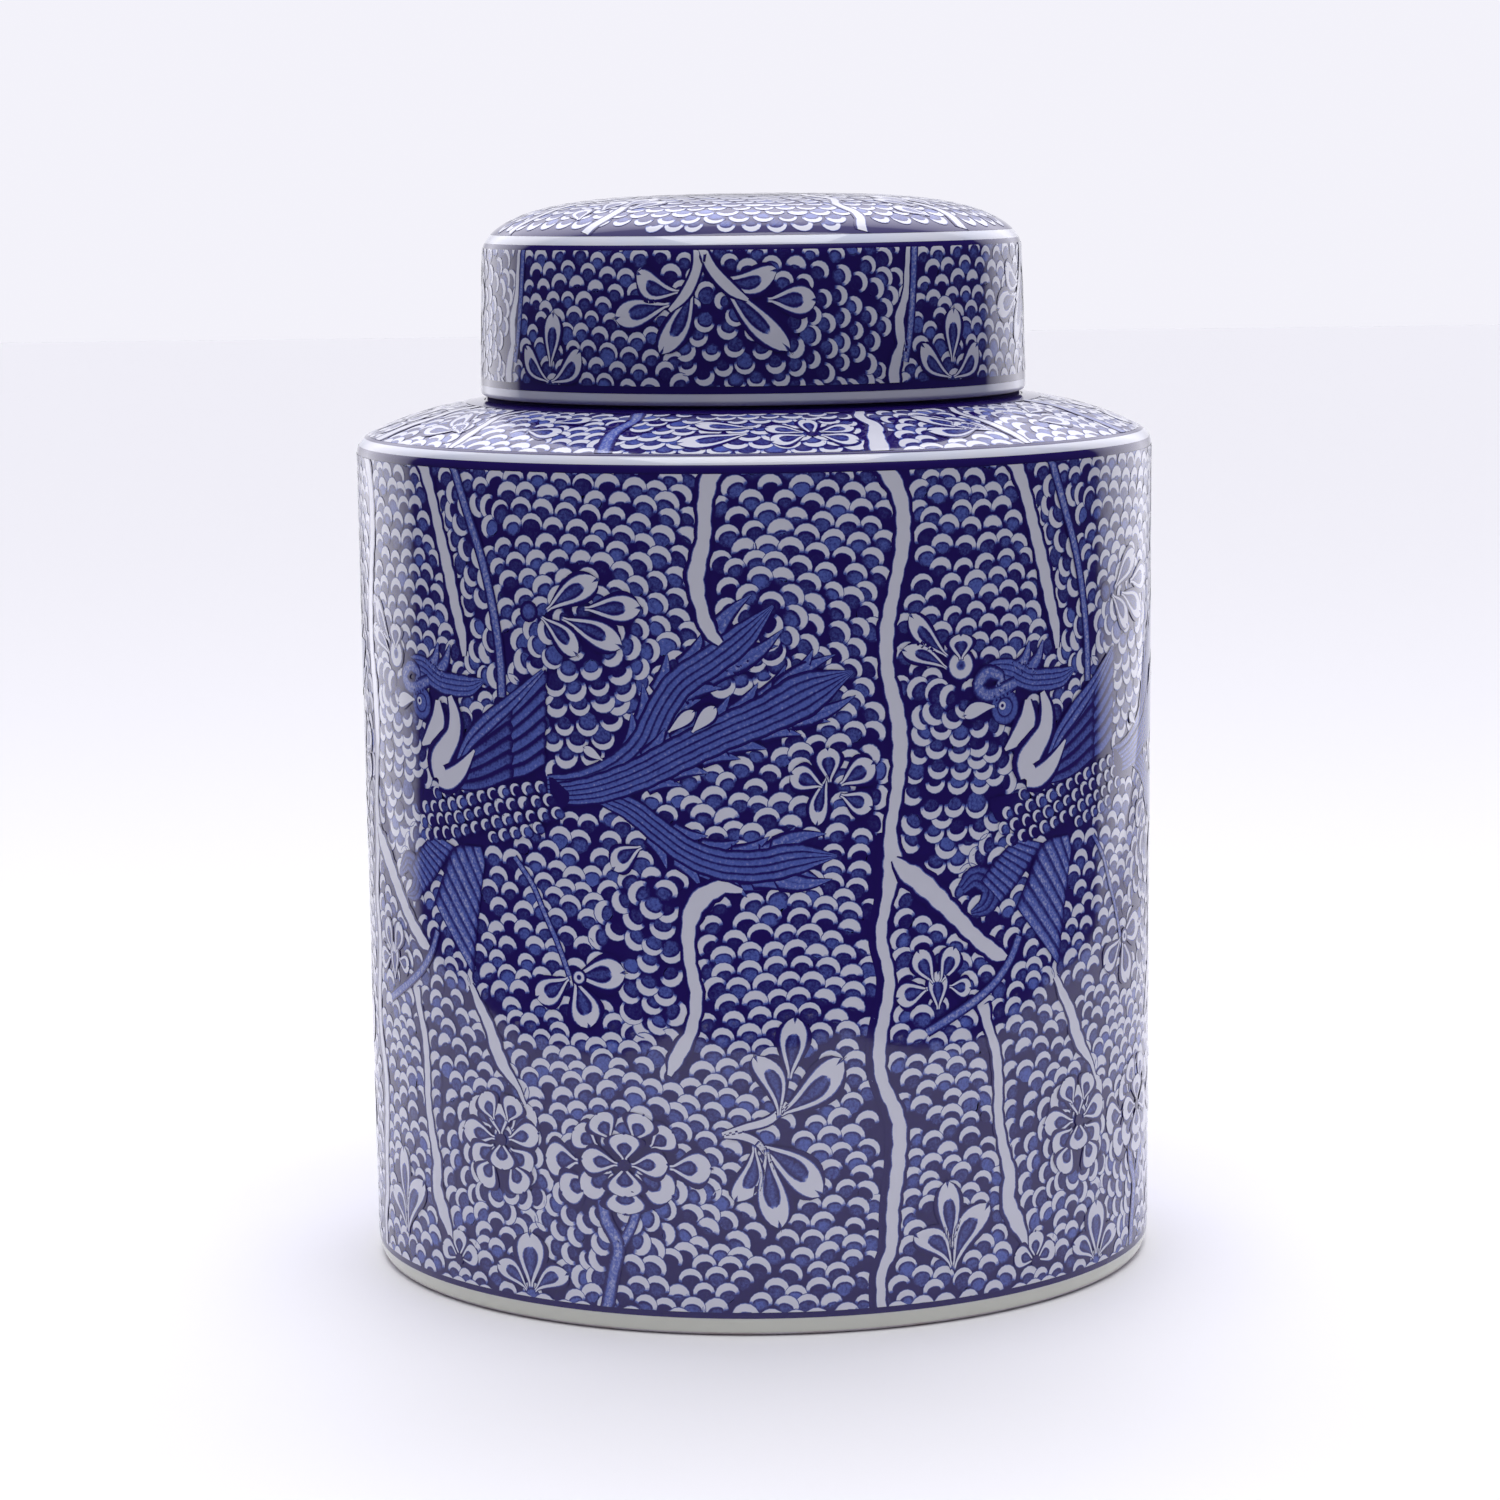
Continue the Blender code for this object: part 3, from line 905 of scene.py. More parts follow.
# Each petal: base, tip, half width, and how far its middle bows to the left.
WALL_PETALS = (
    # spray beside the upper stem
    ((-51.5, 172), (-37.5, 180), 3.1, 0.6), ((-41.5, 173), (-27, 173.5), 3.2, 0),
    ((-47.5, 170.7), (-31.8, 164.3), 3.1, 0.5), ((-53, 170.8), (-43.2, 162), 2.8, 0.8),
    # five-petalled flower below the long plumes
    ((16.8, 132.2), (16.4, 140.6), 3.0, 0), ((15.3, 131.4), (7.6, 134.8), 3.0, 0),
    ((19.2, 131.6), (27.6, 136.6), 3.2, 0), ((19.2, 129.4), (27, 126), 2.9, 0),
    ((16.4, 134), (13.6, 122.3), 2.3, -0.6),
    # flower over the crossing stem
    ((42.5, 83), (38.2, 91.4), 2.8, 0.4), ((44, 83), (48, 91.4), 2.8, -0.4),
    ((41, 82), (32.6, 80.2), 3.1, 0), ((46.4, 82), (52.6, 81), 2.4, 0),
    ((43.5, 76.5), (43.5, 86), 2.7, 0),
    # hanging flower with a ringed middle
    ((-45.8, 85.6), (-32.4, 87.2), 3.9, 0), ((-47, 85.2), (-56.6, 79.6), 3.4, 0.5),
    ((-45.6, 84.8), (-42, 73.4), 4.0, 0.4),
    # pair of trefoil sprays on one white stem
    ((6.6, 62), (8.2, 77), 3.4, 0), ((3.6, 53.5), (19.4, 66.6), 3.9, -1.4),
    ((4, 53), (-1.6, 68), 3.1, -2.2), ((-1.5, 47), (14, 34), 4.0, 1.2),
    ((1, 45.6), (4, 26.4), 3.7, -0.6), ((-2, 46.6), (-6.6, 33), 3.2, 2.0),
    # low plants
    ((47, 18), (45.8, 35), 3.2, 0), ((47.4, 13), (57.6, 28), 3.7, 2.2),
    ((47, 13.5), (37, 22.8), 3.2, -2.4), ((-60, 8), (-60, 22), 4.3, 0),
    ((-61, 7.4), (-70.5, 13), 2.8, -1.2), ((-59, 7.4), (-49, 13), 2.8, 1.2),
    # flower that the bird looks at, with two leaves
    ((46.6, 160.4), (36.6, 171), 2.5, 0.8), ((46.4, 157.6), (34.6, 162.8), 2.3, -0.8),
    ((50, 159.4), (50, 165.6), 3.4, 0), ((-27.6, 117.4), (-35.2, 111.8), 2.9, -0.8),
)

# Blossoms of overlapping petals: centre, then petals as (angle, inner reach, outer reach, half width).
WALL_BLOSSOMS = (
    (
        (-33.5, 40.8),
        (
            (180, 12, 20.5, 3.7), (205, 10, 18, 3.5), (212, 3.5, 12.5, 3.3), (330, 3, 13, 3.6),
            (0, 11, 20.5, 3.3), (150, 8, 14.5, 3.1), (35, 8, 14, 3.0), (120, 7, 13, 3.2),
            (68, 6.5, 12.5, 3.2), (176, 1.5, 10.5, 2.7), (4, 1.5, 10, 2.7), (270, 5, 11, 4.4),
            (270, 0.5, 6.8, 3.9), (90, 1, 6.8, 3.5),
        ),
    ),
    (
        (-68.2, 43.6),
        (
            (140, 4, 12.5, 3.3), (40, 4, 12.5, 3.3), (176, 2, 12.5, 2.8), (14, 2, 11, 2.7),
            (215, 3, 11, 3.2), (322, 3, 10.5, 3.3), (240, 6, 13, 3.2), (298, 6, 13, 3.2),
            (98, 1, 8, 3.3), (66, 5, 11, 2.9), (118, 5, 11.5, 2.9), (270, 0.5, 6.5, 3.5),
        ),
    ),
    ((-84.5, 11.5), ((20, 0.5, 6.5, 2.4), (90, 0.5, 6.5, 2.6), (160, 0.5, 6.5, 2.4))),
)

# Each plume: its points, half its width at each, and its strands.
WALL_PLUMES = (
    (
        (
            (-52, 131), (-43, 131.5), (-34, 135), (-27, 141), (-23, 149), (-18, 156), (-10, 161.5),
            (-3, 167), (4, 174),
        ),
        (2.2, 3.2, 3.7, 3.6, 3.4, 3.4, 3.3, 3.0, 0.3),
        4,
    ),
    (
        (
            (-40, 129.5), (-31, 126.5), (-24, 121.5), (-17, 116.5), (-9, 113.5), (0, 113),
            (9, 114.6), (18.4, 115),
        ),
        (1.6, 2.6, 2.8, 3.0, 3.4, 3.6, 3.4, 0.3),
        4,
    ),
    (
        (
            (-50, 128.8), (-39, 130.5), (-28, 134.5), (-18, 139.6), (-8, 144.4), (2, 148.6),
            (12, 153.6), (22.5, 158.2),
        ),
        (2.4, 3.2, 3.6, 3.9, 4.0, 4.3, 4.7, 0.4),
        5,
    ),
)


# Layers of the bird's parts above the garden's own, lowest first.
PLUME_LAYERS = (-1.0, 0.7)  # the first plume, and from each to the next
UNDER_PLUME = 0.2
CLAW = 1.0
LONG_FAN, SHORT_FAN = 1.6, 1.8
CREST = 2.0
BODY, BODY_SCALES = 2.2, 2.8
HEAD = 3.0
FLIGHT_FEATHERS, COVERTS, LEADING_FEATHER = 3.2, 3.8, 4.4
EYE = 4.0
HOOK, NECK, BREAST = 4.6, 5.0, 5.4
FRONT = 6.0

# Dots: share of the radius, and paint, from the middle out.
HEAD_RINGS = ((0, 0.5), (0.5, 0.5), (0.56, 0.95), (0.72, 0.55), (0.95, 0.6), (1.12, DARK))
EYE_RINGS = ((0, DARK), (0.4, DARK), (0.6, WHITE), (1.0, WHITE), (1.3, 0.8))


def paint_wall_bird(garden):
    """The long-tailed bird. Its body and head are given one repeat further on, and are moved back by
    left."""
    paint_tail(garden)
    left = -WALL_UNIT
    body_top = ((58, 126), (64, 126.6), (74, 127), (86, 131), (97, 133.6), (106, 133), (111, 129.4))
    body_low = ((58, 124), (62, 118.4), (72, 115), (84, 114.6), (96, 117), (106.6, 122), (111, 127.4))
    loft(garden, moved(body_top, left), moved(body_low, left), 1, 0.95, DARK, BODY, 8)
    paint_body_scales(garden, left)
    paint_hanging_fans(garden, left)
    paint_wing(garden, left)
    paint_head(garden, left)


def paint_tail(garden):
    """Three long plumes, a short one under them, and white leaves between them."""
    first, step = PLUME_LAYERS
    for order, (path, widths, count) in enumerate(WALL_PLUMES):
        paint_plume(garden, path, widths, count, step * order + first)
    under = ((-14, 111.2), (-5, 109), (4, 109.4), (12, 111.6))
    ribbon(garden, under, (0.5, 1.7, 1.6, 0.3), strands(2), UNDER_PLUME, 1.5)
    petal(garden, (-21, 144.4), (-14.6, 149.6), 1.5, 0, NO_DROP, FRONT)
    petal(garden, (-15.4, 144.4), (-9.6, 150.6), 1.8, 0, NO_DROP, FRONT)
    petal(garden, (-37, 137.4), (-42, 140.4), 1.2, 0, NO_DROP, FRONT)


def paint_hanging_fans(garden, left):
    """A curled claw and two fans of feathers under the body."""
    claw = ((50, 105), (54, 107.6), (58.6, 104.6), (57, 100.4), (52.6, 99))
    ribbon(garden, moved(claw, left), (1.4, 2.6, 2.8, 2.4, 0.6), strands(3, 0.62, 0.9), CLAW, 1.2)
    high, low = ((55.4, 106.6), (60, 111.4), (66.4, 116)), ((61.4, 100.6), (66.4, 104.6), (75, 113.6))
    loft(garden, moved(high, left), moved(low, left), 9, 0.42, 0.86, SHORT_FAN, 8)
    high = ((66, 99), (70, 106), (75, 113.6), (84.6, 114.6))
    low = ((80.5, 83), (81.8, 91), (83.4, 100), (85.6, 111))
    loft(garden, moved(high, left), moved(low, left), 8, 0.36, 0.84, LONG_FAN, 10, 0.03)


def paint_head(garden, left):
    """Crest, head, eye and beak, and the white neck that curves down to the breast."""
    crest = ((55, 153), (58.6, 156.4), (64, 156), (70, 153.4), (76, 152.8), (82, 153), (86.6, 154.6))
    crest_widths = (0.6, 1.9, 2.6, 2.5, 2.6, 2.2, 0.5)
    ribbon(garden, moved(crest, left), crest_widths, strands(4, 0.44, 0.84), CREST, 1.2, 0.08)
    curl = ((66, 153), (58, 150.6), (54.8, 153), (57.6, 156), (61.6, 154.4), (60, 152.4))
    ribbon(garden, moved(curl, left), (1.0, 1.2, 1.2, 1.2, 0.9, 0.3), BLUE_STROKE, HEAD, 1.0)
    for tuft in (((66, 156), (69, 158.4), (70.4, 162.6)), ((70, 155.6), (73, 158), (75, 162.4))):
        ribbon(garden, moved(tuft, left), (1.3, 1.1, 0.2), BLUE_STROKE, CREST, 1.0)
    disc(garden, (62.6 + left, 147.4), 3.9, HEAD_RINGS, HEAD)
    disc(garden, (61.8 + left, 147.8), 0.9, EYE_RINGS, EYE)
    petal(garden, (59.8 + left, 147.8), (50.6 + left, 146.2), 1.9, -0.7, NO_DROP, EYE)
    hook = ((62.6, 137.2), (66.4, 139.8), (69.6, 143.4), (69.8, 148.6))
    ribbon(garden, moved(hook, left), (0.4, 2.1, 2.7, 0.9), WHITE_STROKE, HOOK, 1.0)
    neck = ((74.6, 150), (76.2, 145.4), (75.6, 140.8), (72.4, 137), (69.6, 133.6), (69.6, 129.8))
    ribbon(garden, moved(neck, left), (0.8, 1.9, 2.4, 3.0, 3.4, 2.2), WHITE_STROKE, NECK, 1.0)
    breast = ((69.4, 129.6), (73.4, 129.8), (78, 132.4), (83, 137.6))
    ribbon(garden, moved(breast, left), (2.0, 2.5, 2.0, 0.3), WHITE_STROKE, BREAST, 1.0)
    disc(garden, (70.2 + left, 131.2), 2.1, ((0, WHITE), (1, WHITE)), FRONT)


def moved(points, shift):
    """The same points, shift further along u."""
    return [(u + shift, v) for u, v in points]


BARB_SPACING = 6.5
BARB_HALF_WIDTH, TIP_BARB_HALF_WIDTH = 2.3, 2.7
TIP_SPREAD = 5.4


def paint_plume(garden, path, widths, count, layer):
    """A tail plume: strands side by side that taper to a tip, and under their edges pointed barbs that
    lie forwards, the last two spread beside the tip."""
    ribbon(garden, path, widths, strands(count), 1 + layer, 1.5, 0.06)
    line = smooth_path(np.column_stack([path, widths]), CURVE_STEPS)
    ahead = np.gradient(line[:, :2], axis=0)
    ahead /= np.linalg.norm(ahead, axis=1, keepdims=True)
    length = np.linalg.norm(np.diff(line[:, :2], axis=0), axis=1).sum()
    barbs = int(length / BARB_SPACING)
    for k in range(barbs):
        share = 0.34 + 0.52 * k / (barbs - 1)
        i = int(share * (CURVE_STEPS - 1))
        side = 1 if k % 2 else -1
        out = side * np.array([-ahead[i, 1], ahead[i, 0]])
        base = line[i, :2] + 0.7 * line[i, 2] * out - 4.0 * ahead[i]
        tip = line[i, :2] + (line[i, 2] + 2.6 + 1.4 * share) * out + (3.0 + 3.5 * share) * ahead[i]
        barb(garden, base, tip, BARB_HALF_WIDTH, -0.7 * side, 0.6 + layer)
    for spread in (TIP_SPREAD, -TIP_SPREAD):
        out = spread * np.array([-ahead[50, 1], ahead[50, 0]])
        base = line[44, :2] + 0.42 * out
        tip = line[-1, :2] + out - 1.8 * ahead[-1]
        barb(garden, base, tip, TIP_BARB_HALF_WIDTH, 0.3 * spread, 0.8 + layer, 0.42)


def paint_wing(garden, left):
    """The raised wing: long flight feathers behind, shorter ones from the shoulder in front of them,
    and a pale leading feather on top."""
    low, high = ((93.4, 131.4), (99, 132.6), (104.2, 135.4)), ((93.4, 147.6), (99, 152.6), (105.2, 158.4))
    feather_fan(garden, moved(low, left), moved(high, left), 6, 0.50, 0.97, FLIGHT_FEATHERS)
    low = ((73.4, 129), (78, 127.6), (86, 128.4), (94.8, 131.6))
    high = ((75.6, 133), (80, 138.6), (87, 143.8), (94.8, 149))
    feather_fan(garden, moved(low, left), moved(high, left), 5, 0.62, 0.99, COVERTS)
    leading = ((76.6, 133.4), (81, 139.4), (87.4, 144.6), (96, 150.8), (104.6, 158))
    widths = (0.8, 1.7, 2.2, 1.6, 0.5)
    ribbon(garden, moved(leading, left), widths, strands(2, 0.40, 0.9), LEADING_FEATHER, 1.2)


FAN_STEPS = 20
FAN_TOOTH = 0.9  # how far each feather's end stands out


def feather_fan(garden, low, high, count, light, line, layer):
    """Feathers that run along two curves, one above another between them: a grid of (along, across)."""
    columns = feather_columns(count, (0.10, 0.24, 0.66, 0.92), light, 0.08, line)
    shares, paints = np.array([(0.0, DARK), *columns, (1.0, DARK)]).T
    one, other = smooth_path(low, FAN_STEPS), smooth_path(high, FAN_STEPS)
    u = one[:, :1] + (other[:, :1] - one[:, :1]) * shares
    v = one[:, 1:2] + (other[:, 1:2] - one[:, 1:2]) * shares
    u[-1] += FAN_TOOTH * np.abs(np.sin(np.pi * shares * count))
    paint = np.broadcast_to(paints, u.shape).copy()
    paint[-1] = DARK
    garden.add(u, v, paint, GARDEN_LIFT + LAYER * layer, covers=True)


BODY_SCALE_SIZE = (4.0, 3.1)  # pitch and row


def paint_body_scales(garden, left):
    """Small close scales over the body, their arches towards the head."""
    flow = Flow(Zone(None, 0, 0, None), rest=(-0.94, 0.35))
    middle_u, middle_v = 84 + left, 122.8

    def allowed(u, v):
        """Whether a place lies on the body, whose middle line is a slow S."""
        across = (u - middle_u) / 25.5
        bow = middle_v + 3.4 * across * abs(across) + 1.2 * across
        return abs(across) < 1 and abs(v - bow) < 6.6 * math.sqrt(1 - across**4) - 0.6

    pitch, row = BODY_SCALE_SIZE
    small = grow_scales(flow, (middle_u, middle_v), pitch, row, allowed)
    patch = Painting(garden.zone)
    lay_scales(patch, small, pitch, row, np.random.default_rng(5), 0.8)
    garden.add_all(patch, lift=GARDEN_LIFT + BODY_SCALES * LAYER)


BLOSSOM_HEART = (0.0, 0.66)
BLOSSOM_OVERLAP = (0.9, 1.18)  # a blossom's petals are this much longer, and this many times as wide
BLOSSOM_STEP = 0.3  # layers from a petal to the next


def paint_blossoms(garden, blossoms):
    """Blossoms of petals that stand round a centre, the first ones lowest."""
    longer, wider = BLOSSOM_OVERLAP
    for (centre_u, centre_v), petals in blossoms:
        for order, (angle, inner, outer, half_width) in enumerate(petals):
            x, y = math.cos(math.radians(angle)), math.sin(math.radians(angle))
            base = (centre_u + inner * x, centre_v + inner * y)
            tip = (centre_u + (outer + longer) * x, centre_v + (outer + longer) * y)
            petal(garden, base, tip, wider * half_width, 0, BLOSSOM_HEART, BLOSSOM_STEP * order, 0.04)
        disc(garden, (centre_u, centre_v), 1.5, ((0, 0.9), (0.6, DARK), (1, DARK)), 4)


SHADOW_START = 9  # the point of the long branch from which it has a dark shadow on its left
SHADOW_SHIFT = -1.9
SHADOW_STROKE = [(-1.0, DARK), (1.0, DARK)]
BUD_RINGS = ((0, 0.6), (0.6, 0.68), (0.8, DARK), (1, DARK))
CENTRE_RINGS = ((0, 0.9), (0.24, 0.7), (0.42, WHITE), (0.86, WHITE), (1.0, DARK), (1.2, DARK))
SMALL_CENTRE_RINGS = ((0, 0.9), (0.3, 0.9), (0.5, WHITE), (0.85, WHITE), (1.1, DARK), (1.4, DARK))


def paint_wall_garden():
    """Everything on one quarter of the wall that isn't a scale."""
    garden = Painting(WALL)
    trunk, widths = WALL_BRANCHES[0]
    shadow = moved(trunk[SHADOW_START:], SHADOW_SHIFT)
    ribbon(garden, shadow, widths[SHADOW_START:], SHADOW_STROKE, -0.8, 2.0)
    for order, (path, widths) in enumerate(WALL_BRANCHES):
        ribbon(garden, path, widths, WHITE_STROKE, 0.5 * min(order, 1), 1.3, 0.22)
    for path, half_width in WALL_STEMS:
        ribbon(garden, path, half_width, BLUE_STROKE, 2, 1.6)
    upper = ((-9.5, 49.2), (-4, 50.8), (2, 52.6), (6, 56.6))
    ribbon(garden, upper, (0.4, 0.8, 0.9, 0.5), WHITE_STROKE, 2, 1.2)
    lower = ((-9, 48.6), (-5, 48.8), (-1, 47), (1.6, 43))
    ribbon(garden, lower, (0.4, 0.9, 0.8, 0.4), WHITE_STROKE, 2, 1.2)
    disc(garden, (-56.2, 171.8), 2.6, BUD_RINGS, 1)
    disc(garden, (50, 158.2), 3.5, CENTRE_RINGS, 1)
    for base, tip, half_width, bend in WALL_PETALS:
        petal(garden, base, tip, half_width, bend, layer=2)
    disc(garden, (-44.4, 85.4), 1.5, SMALL_CENTRE_RINGS, 4)
    paint_blossoms(garden, WALL_BLOSSOMS)
    paint_wall_bird(garden)
    return garden


def branch_points(branches):
    """Points along the branches, for the scales to turn to."""
    return np.concatenate([smooth_path(path, 3 * len(path)) for path, _ in branches])


def wall_flow():
    """On the wall the arches point up, and turn beside the bird, the sprays and the blossoms."""
    pulls = (
        (47, 133, 16, 0, -1, 3.0), (46, 118, 9, 0, -1, 2.4), (-43, 152, 15, 0.1, -1, 3.0),
        (-40, 140, 9, 0, -1, 2.0), (-28, 95, 11, -0.3, -1, 2.6), (-27, 80, 8, -0.2, -1, 2.0),
        (-75, 193, 7, -0.6, -0.9, 2.6), (-74, 176, 8, -0.6, -0.9, 2.8),
        (-73, 160, 8, -0.7, -0.8, 2.8), (-2, 157, 7, 0.1, -1, 3.0), (-45, 22, 8, -0.7, -0.8, 2.4),
        (22, 165, 12, 0.9, 0.2, 1.3), (-24, 188, 12, 0.5, 0.4, 0.9),
    )
    bursts = (
        (3, 171, 13, 1.6), (-40, 171, 17, 1.9), (-33.5, 41, 22, 2.2), (-68, 43, 18, 2.4),
        (17, 131, 9, 0.6),
    )
    return Flow(WALL, (0.0, 1.0), pulls, bursts, branch_points(WALL_BRANCHES))


# --------------------------------------------------------------------------------------------------
# The gardens on the shoulder and on the lid
# --------------------------------------------------------------------------------------------------

SHOULDER_BRANCHES = (
    (((30, 26), (27.6, 20), (29, 14), (27, 8), (25.6, 0)), (1.3, 1.4, 1.6, 1.9, 2.2)),
    (((60, 26), (57, 20), (59.4, 13), (61, 6), (61.4, 0)), (0.7, 1.0, 1.0, 1.1, 0.6)),
)
SHOULDER_STEMS = (
    ((-32.6, 26), (-30.6, 19), (-32.4, 11), (-31, 0)),
)
SHOULDER_PETALS = (
    ((13, 9), (13, 19.5), 2.5, 0), ((11.4, 9), (3.6, 6), 3.0, 0), ((14.6, 9), (22.6, 5.6), 3.0, 0),
    ((11.4, 10.6), (2.6, 14), 2.6, 0), ((14.6, 10.6), (23.4, 13.6), 2.6, 0),
    ((0.4, 13.6), (-14.4, 17), 2.8, 0.6), ((-1, 10.6), (-16.6, 5.6), 3.2, 0.8),
    ((57, 8.6), (41, 19.6), 2.6, 1.4), ((54, 9.6), (40, 9.4), 2.7, 1.4),
    ((57, 7.4), (48.4, 13), 2.2, -0.6), ((-52, 16), (-42.6, 19.4), 2.8, 0.6),
    ((-56, 11), (-45.4, 9.6), 3.0, 0),
)

LID_BRANCHES = (
    (
        ((40.4, 258), (39.6, 250), (39, 244), (37, 238), (37.4, 232), (35.4, 227), (35.2, 219)),
        (0.6, 0.7, 0.9, 1.3, 1.2, 1.5, 1.4),
    ),
)
LID_STEMS = (
    ((-65.6, 258), (-66.4, 247), (-67.6, 236), (-69.4, 228)),
)
LID_PETALS = (
    ((-14, 248), (-22.4, 230.8), 3.0, 1.2), ((-17, 245.6), (-28.4, 250), 3.1, 2.0),
    ((-19.6, 242.6), (-34.4, 239.2), 3.4, 0), ((-9, 249), (6, 250.4), 3.0, -2.4),
    ((3.4, 243.4), (15.4, 243.2), 3.5, 0), ((-8, 249.4), (8.8, 231.4), 3.0, -0.8),
    ((-54.5, 227), (-53.4, 240.4), 3.0, 0), ((-54.6, 223.6), (-64.4, 232), 2.6, 1.6),
    ((-54.4, 223.6), (-44.6, 231.4), 2.9, -1.8),
)


def paint_shoulder_garden():
    """Branches, stems and sprays on one quarter of the shoulder, and the dark ring round the lid's foot:
    the band's dark cobalt edge and a painted shadow under the lid's rim."""
    garden = Painting(SHOULDER)
    for path, widths in SHOULDER_BRANCHES:
        ribbon(garden, path, widths, WHITE_STROKE, 0, 1.2, 0.2)
    for path in SHOULDER_STEMS:
        ribbon(garden, path, 1.2, BLUE_STROKE, 1, 1.6)
    for base, tip, half_width, bend in SHOULDER_PETALS:
        petal(garden, base, tip, half_width, bend, layer=1)
    # painted shadow: a ring of full cobalt on the shoulder where the lid's rim shades it, which also
    # edges the band
    edges = SHOULDER.high - LID_FOOT_SHADE_RING, SHOULDER.high
    u, v = np.meshgrid(np.linspace(0, SHOULDER_UNIT, 33), edges)
    garden.add(u, v, DARK, GARDEN_LIFT + 0.5 * LAYER, covers=True)
    disc(garden, (13, 9.6), 1.3, ((0, 0.9), (1, DARK)), 3)
    return garden


def paint_lid_side_garden():
    """Branches, hanging sprays and low plants on one quarter of the lid's side."""
    garden = Painting(LID_SIDE)
    for path, widths in LID_BRANCHES:
        ribbon(garden, path, widths, WHITE_STROKE, 0, 1.2, 0.22)
    for path in LID_STEMS:
        ribbon(garden, path, 0.7, BLUE_STROKE, 0, 1.6)
    left = ((-12.6, 258), (-13.2, 251), (-16, 245), (-20, 241))
    ribbon(garden, left, (1.6, 1.1, 1.2, 0.5), WHITE_STROKE, 2, 1.2)
    right = ((-12.4, 257), (-9.6, 251), (-5, 246), (-1, 243.4))
    ribbon(garden, right, (0.9, 1.2, 1.3, 0.4), WHITE_STROKE, 2, 1.2)
    for base, tip, half_width, bend in LID_PETALS:
        petal(garden, base, tip, half_width, bend, layer=1)
    return garden


# Each petal of a spray on the lid's top: angle, radius at its base and at its tip, half width.
LID_TOP_PETALS = ((-38, 50, 38, 3.2), (-46, 54, 43, 3.0), (-29, 53, 43, 3.0), (-50, 60, 53, 2.6))


def paint_lid_top_garden():
    """On the lid's top: white branches that run in from the rim, sprays and a blossom in the middle."""
    garden = Painting(LID_TOP)
    for quarter in range(QUARTERS):
        turn = quarter * math.pi / 2

        def at(radius, angle):
            """The place at a radius and an angle, in degrees, in this quarter."""
            a = turn + math.radians(angle)
            return radius * math.sin(a), -radius * math.cos(a)

        branch = [at(64.8, 24), at(58, 26), at(50, 24.5), at(42, 28), at(33, 25), at(25, 30)]
        ribbon(garden, branch, (1.2, 1.1, 1.0, 0.9, 0.8, 0.3), WHITE_STROKE, 0, 1.3, 0.2)
        spray = [at(64.8, -38), at(57, -36), at(49, -38), at(42, -43)]
        ribbon(garden, spray, (1.4, 1.2, 1.0, 0.3), WHITE_STROKE, 0, 1.3, 0.12)
        for angle, low, high, half_width in LID_TOP_PETALS:
            petal(garden, at(low, (angle - 38) / 2), at(high, angle), half_width, layer=1)
    petals = [(45 * k + 20, 7, 16, 4.2) for k in range(8)] + [(45 * k, 1, 10, 3.6) for k in range(8)]
    paint_blossoms(garden, (((0, 0), petals),))
    return garden


# --------------------------------------------------------------------------------------------------
# Finishes
# --------------------------------------------------------------------------------------------------


class Wires:
    """Short hand for wiring a node tree."""

    def __init__(self, tree):
        self.tree = tree

    def node(self, kind, **values):
        """A new node with its settings."""
        made = self.tree.nodes.new(kind)
        for key, value in values.items():
            setattr(made, key, value)
        return made

    def put(self, target, value):
        """Links a socket to an input, or sets the input to a value."""
        if isinstance(value, bpy.types.NodeSocket):
            self.tree.links.new(value, target)
        else:
            target.default_value = value

    def math(self, operation, *values, clamp=False):
        """One step of arithmetic."""
        made = self.node("ShaderNodeMath", operation=operation, use_clamp=clamp)
        for socket, value in zip(made.inputs, values):
            self.put(socket, value)
        return made.outputs[0]

    def noise(self, position, scale, detail=2.0, roughness=0.5):
        """Smooth noise from 0 to 1. The scale is in ups and downs to the metre."""
        made = self.node("ShaderNodeTexNoise")
        self.put(made.inputs["Vector"], position)
        made.inputs["Scale"].default_value = scale
        made.inputs["Detail"].default_value = detail
        made.inputs["Roughness"].default_value = roughness
        return made.outputs["Fac"]

    def blend(self, share, first, second):
        """A colour that goes from the first to the second."""
        made = self.node("ShaderNodeMix", data_type="RGBA")
        self.put(made.inputs["Factor"], share)
        self.put(made.inputs["A"], first)
        self.put(made.inputs["B"], second)
        return made.outputs["Result"]

    def smooth(self, value, low, high):
        """A soft step from 0 at low to 1 at high."""
        made = self.node("ShaderNodeMapRange", interpolation_type="SMOOTHSTEP")
        self.put(made.inputs["Value"], value)
        made.inputs["From Min"].default_value = low
        made.inputs["From Max"].default_value = high
        return made.outputs["Result"]


def new_group(name, inputs, outputs):
    """A shader group with its sockets: inputs and outputs are (name, socket type, default or None)."""
    tree = bpy.data.node_groups.new(name, "ShaderNodeTree")
    for direction, sockets in (("INPUT", inputs), ("OUTPUT", outputs)):
        for label, kind, default in sockets:
            socket = tree.interface.new_socket(label, in_out=direction, socket_type=kind)
            if default is not None:
                socket.default_value = default
    wires = Wires(tree)
    return tree, wires, wires.node("NodeGroupInput"), wires.node("NodeGroupOutput")


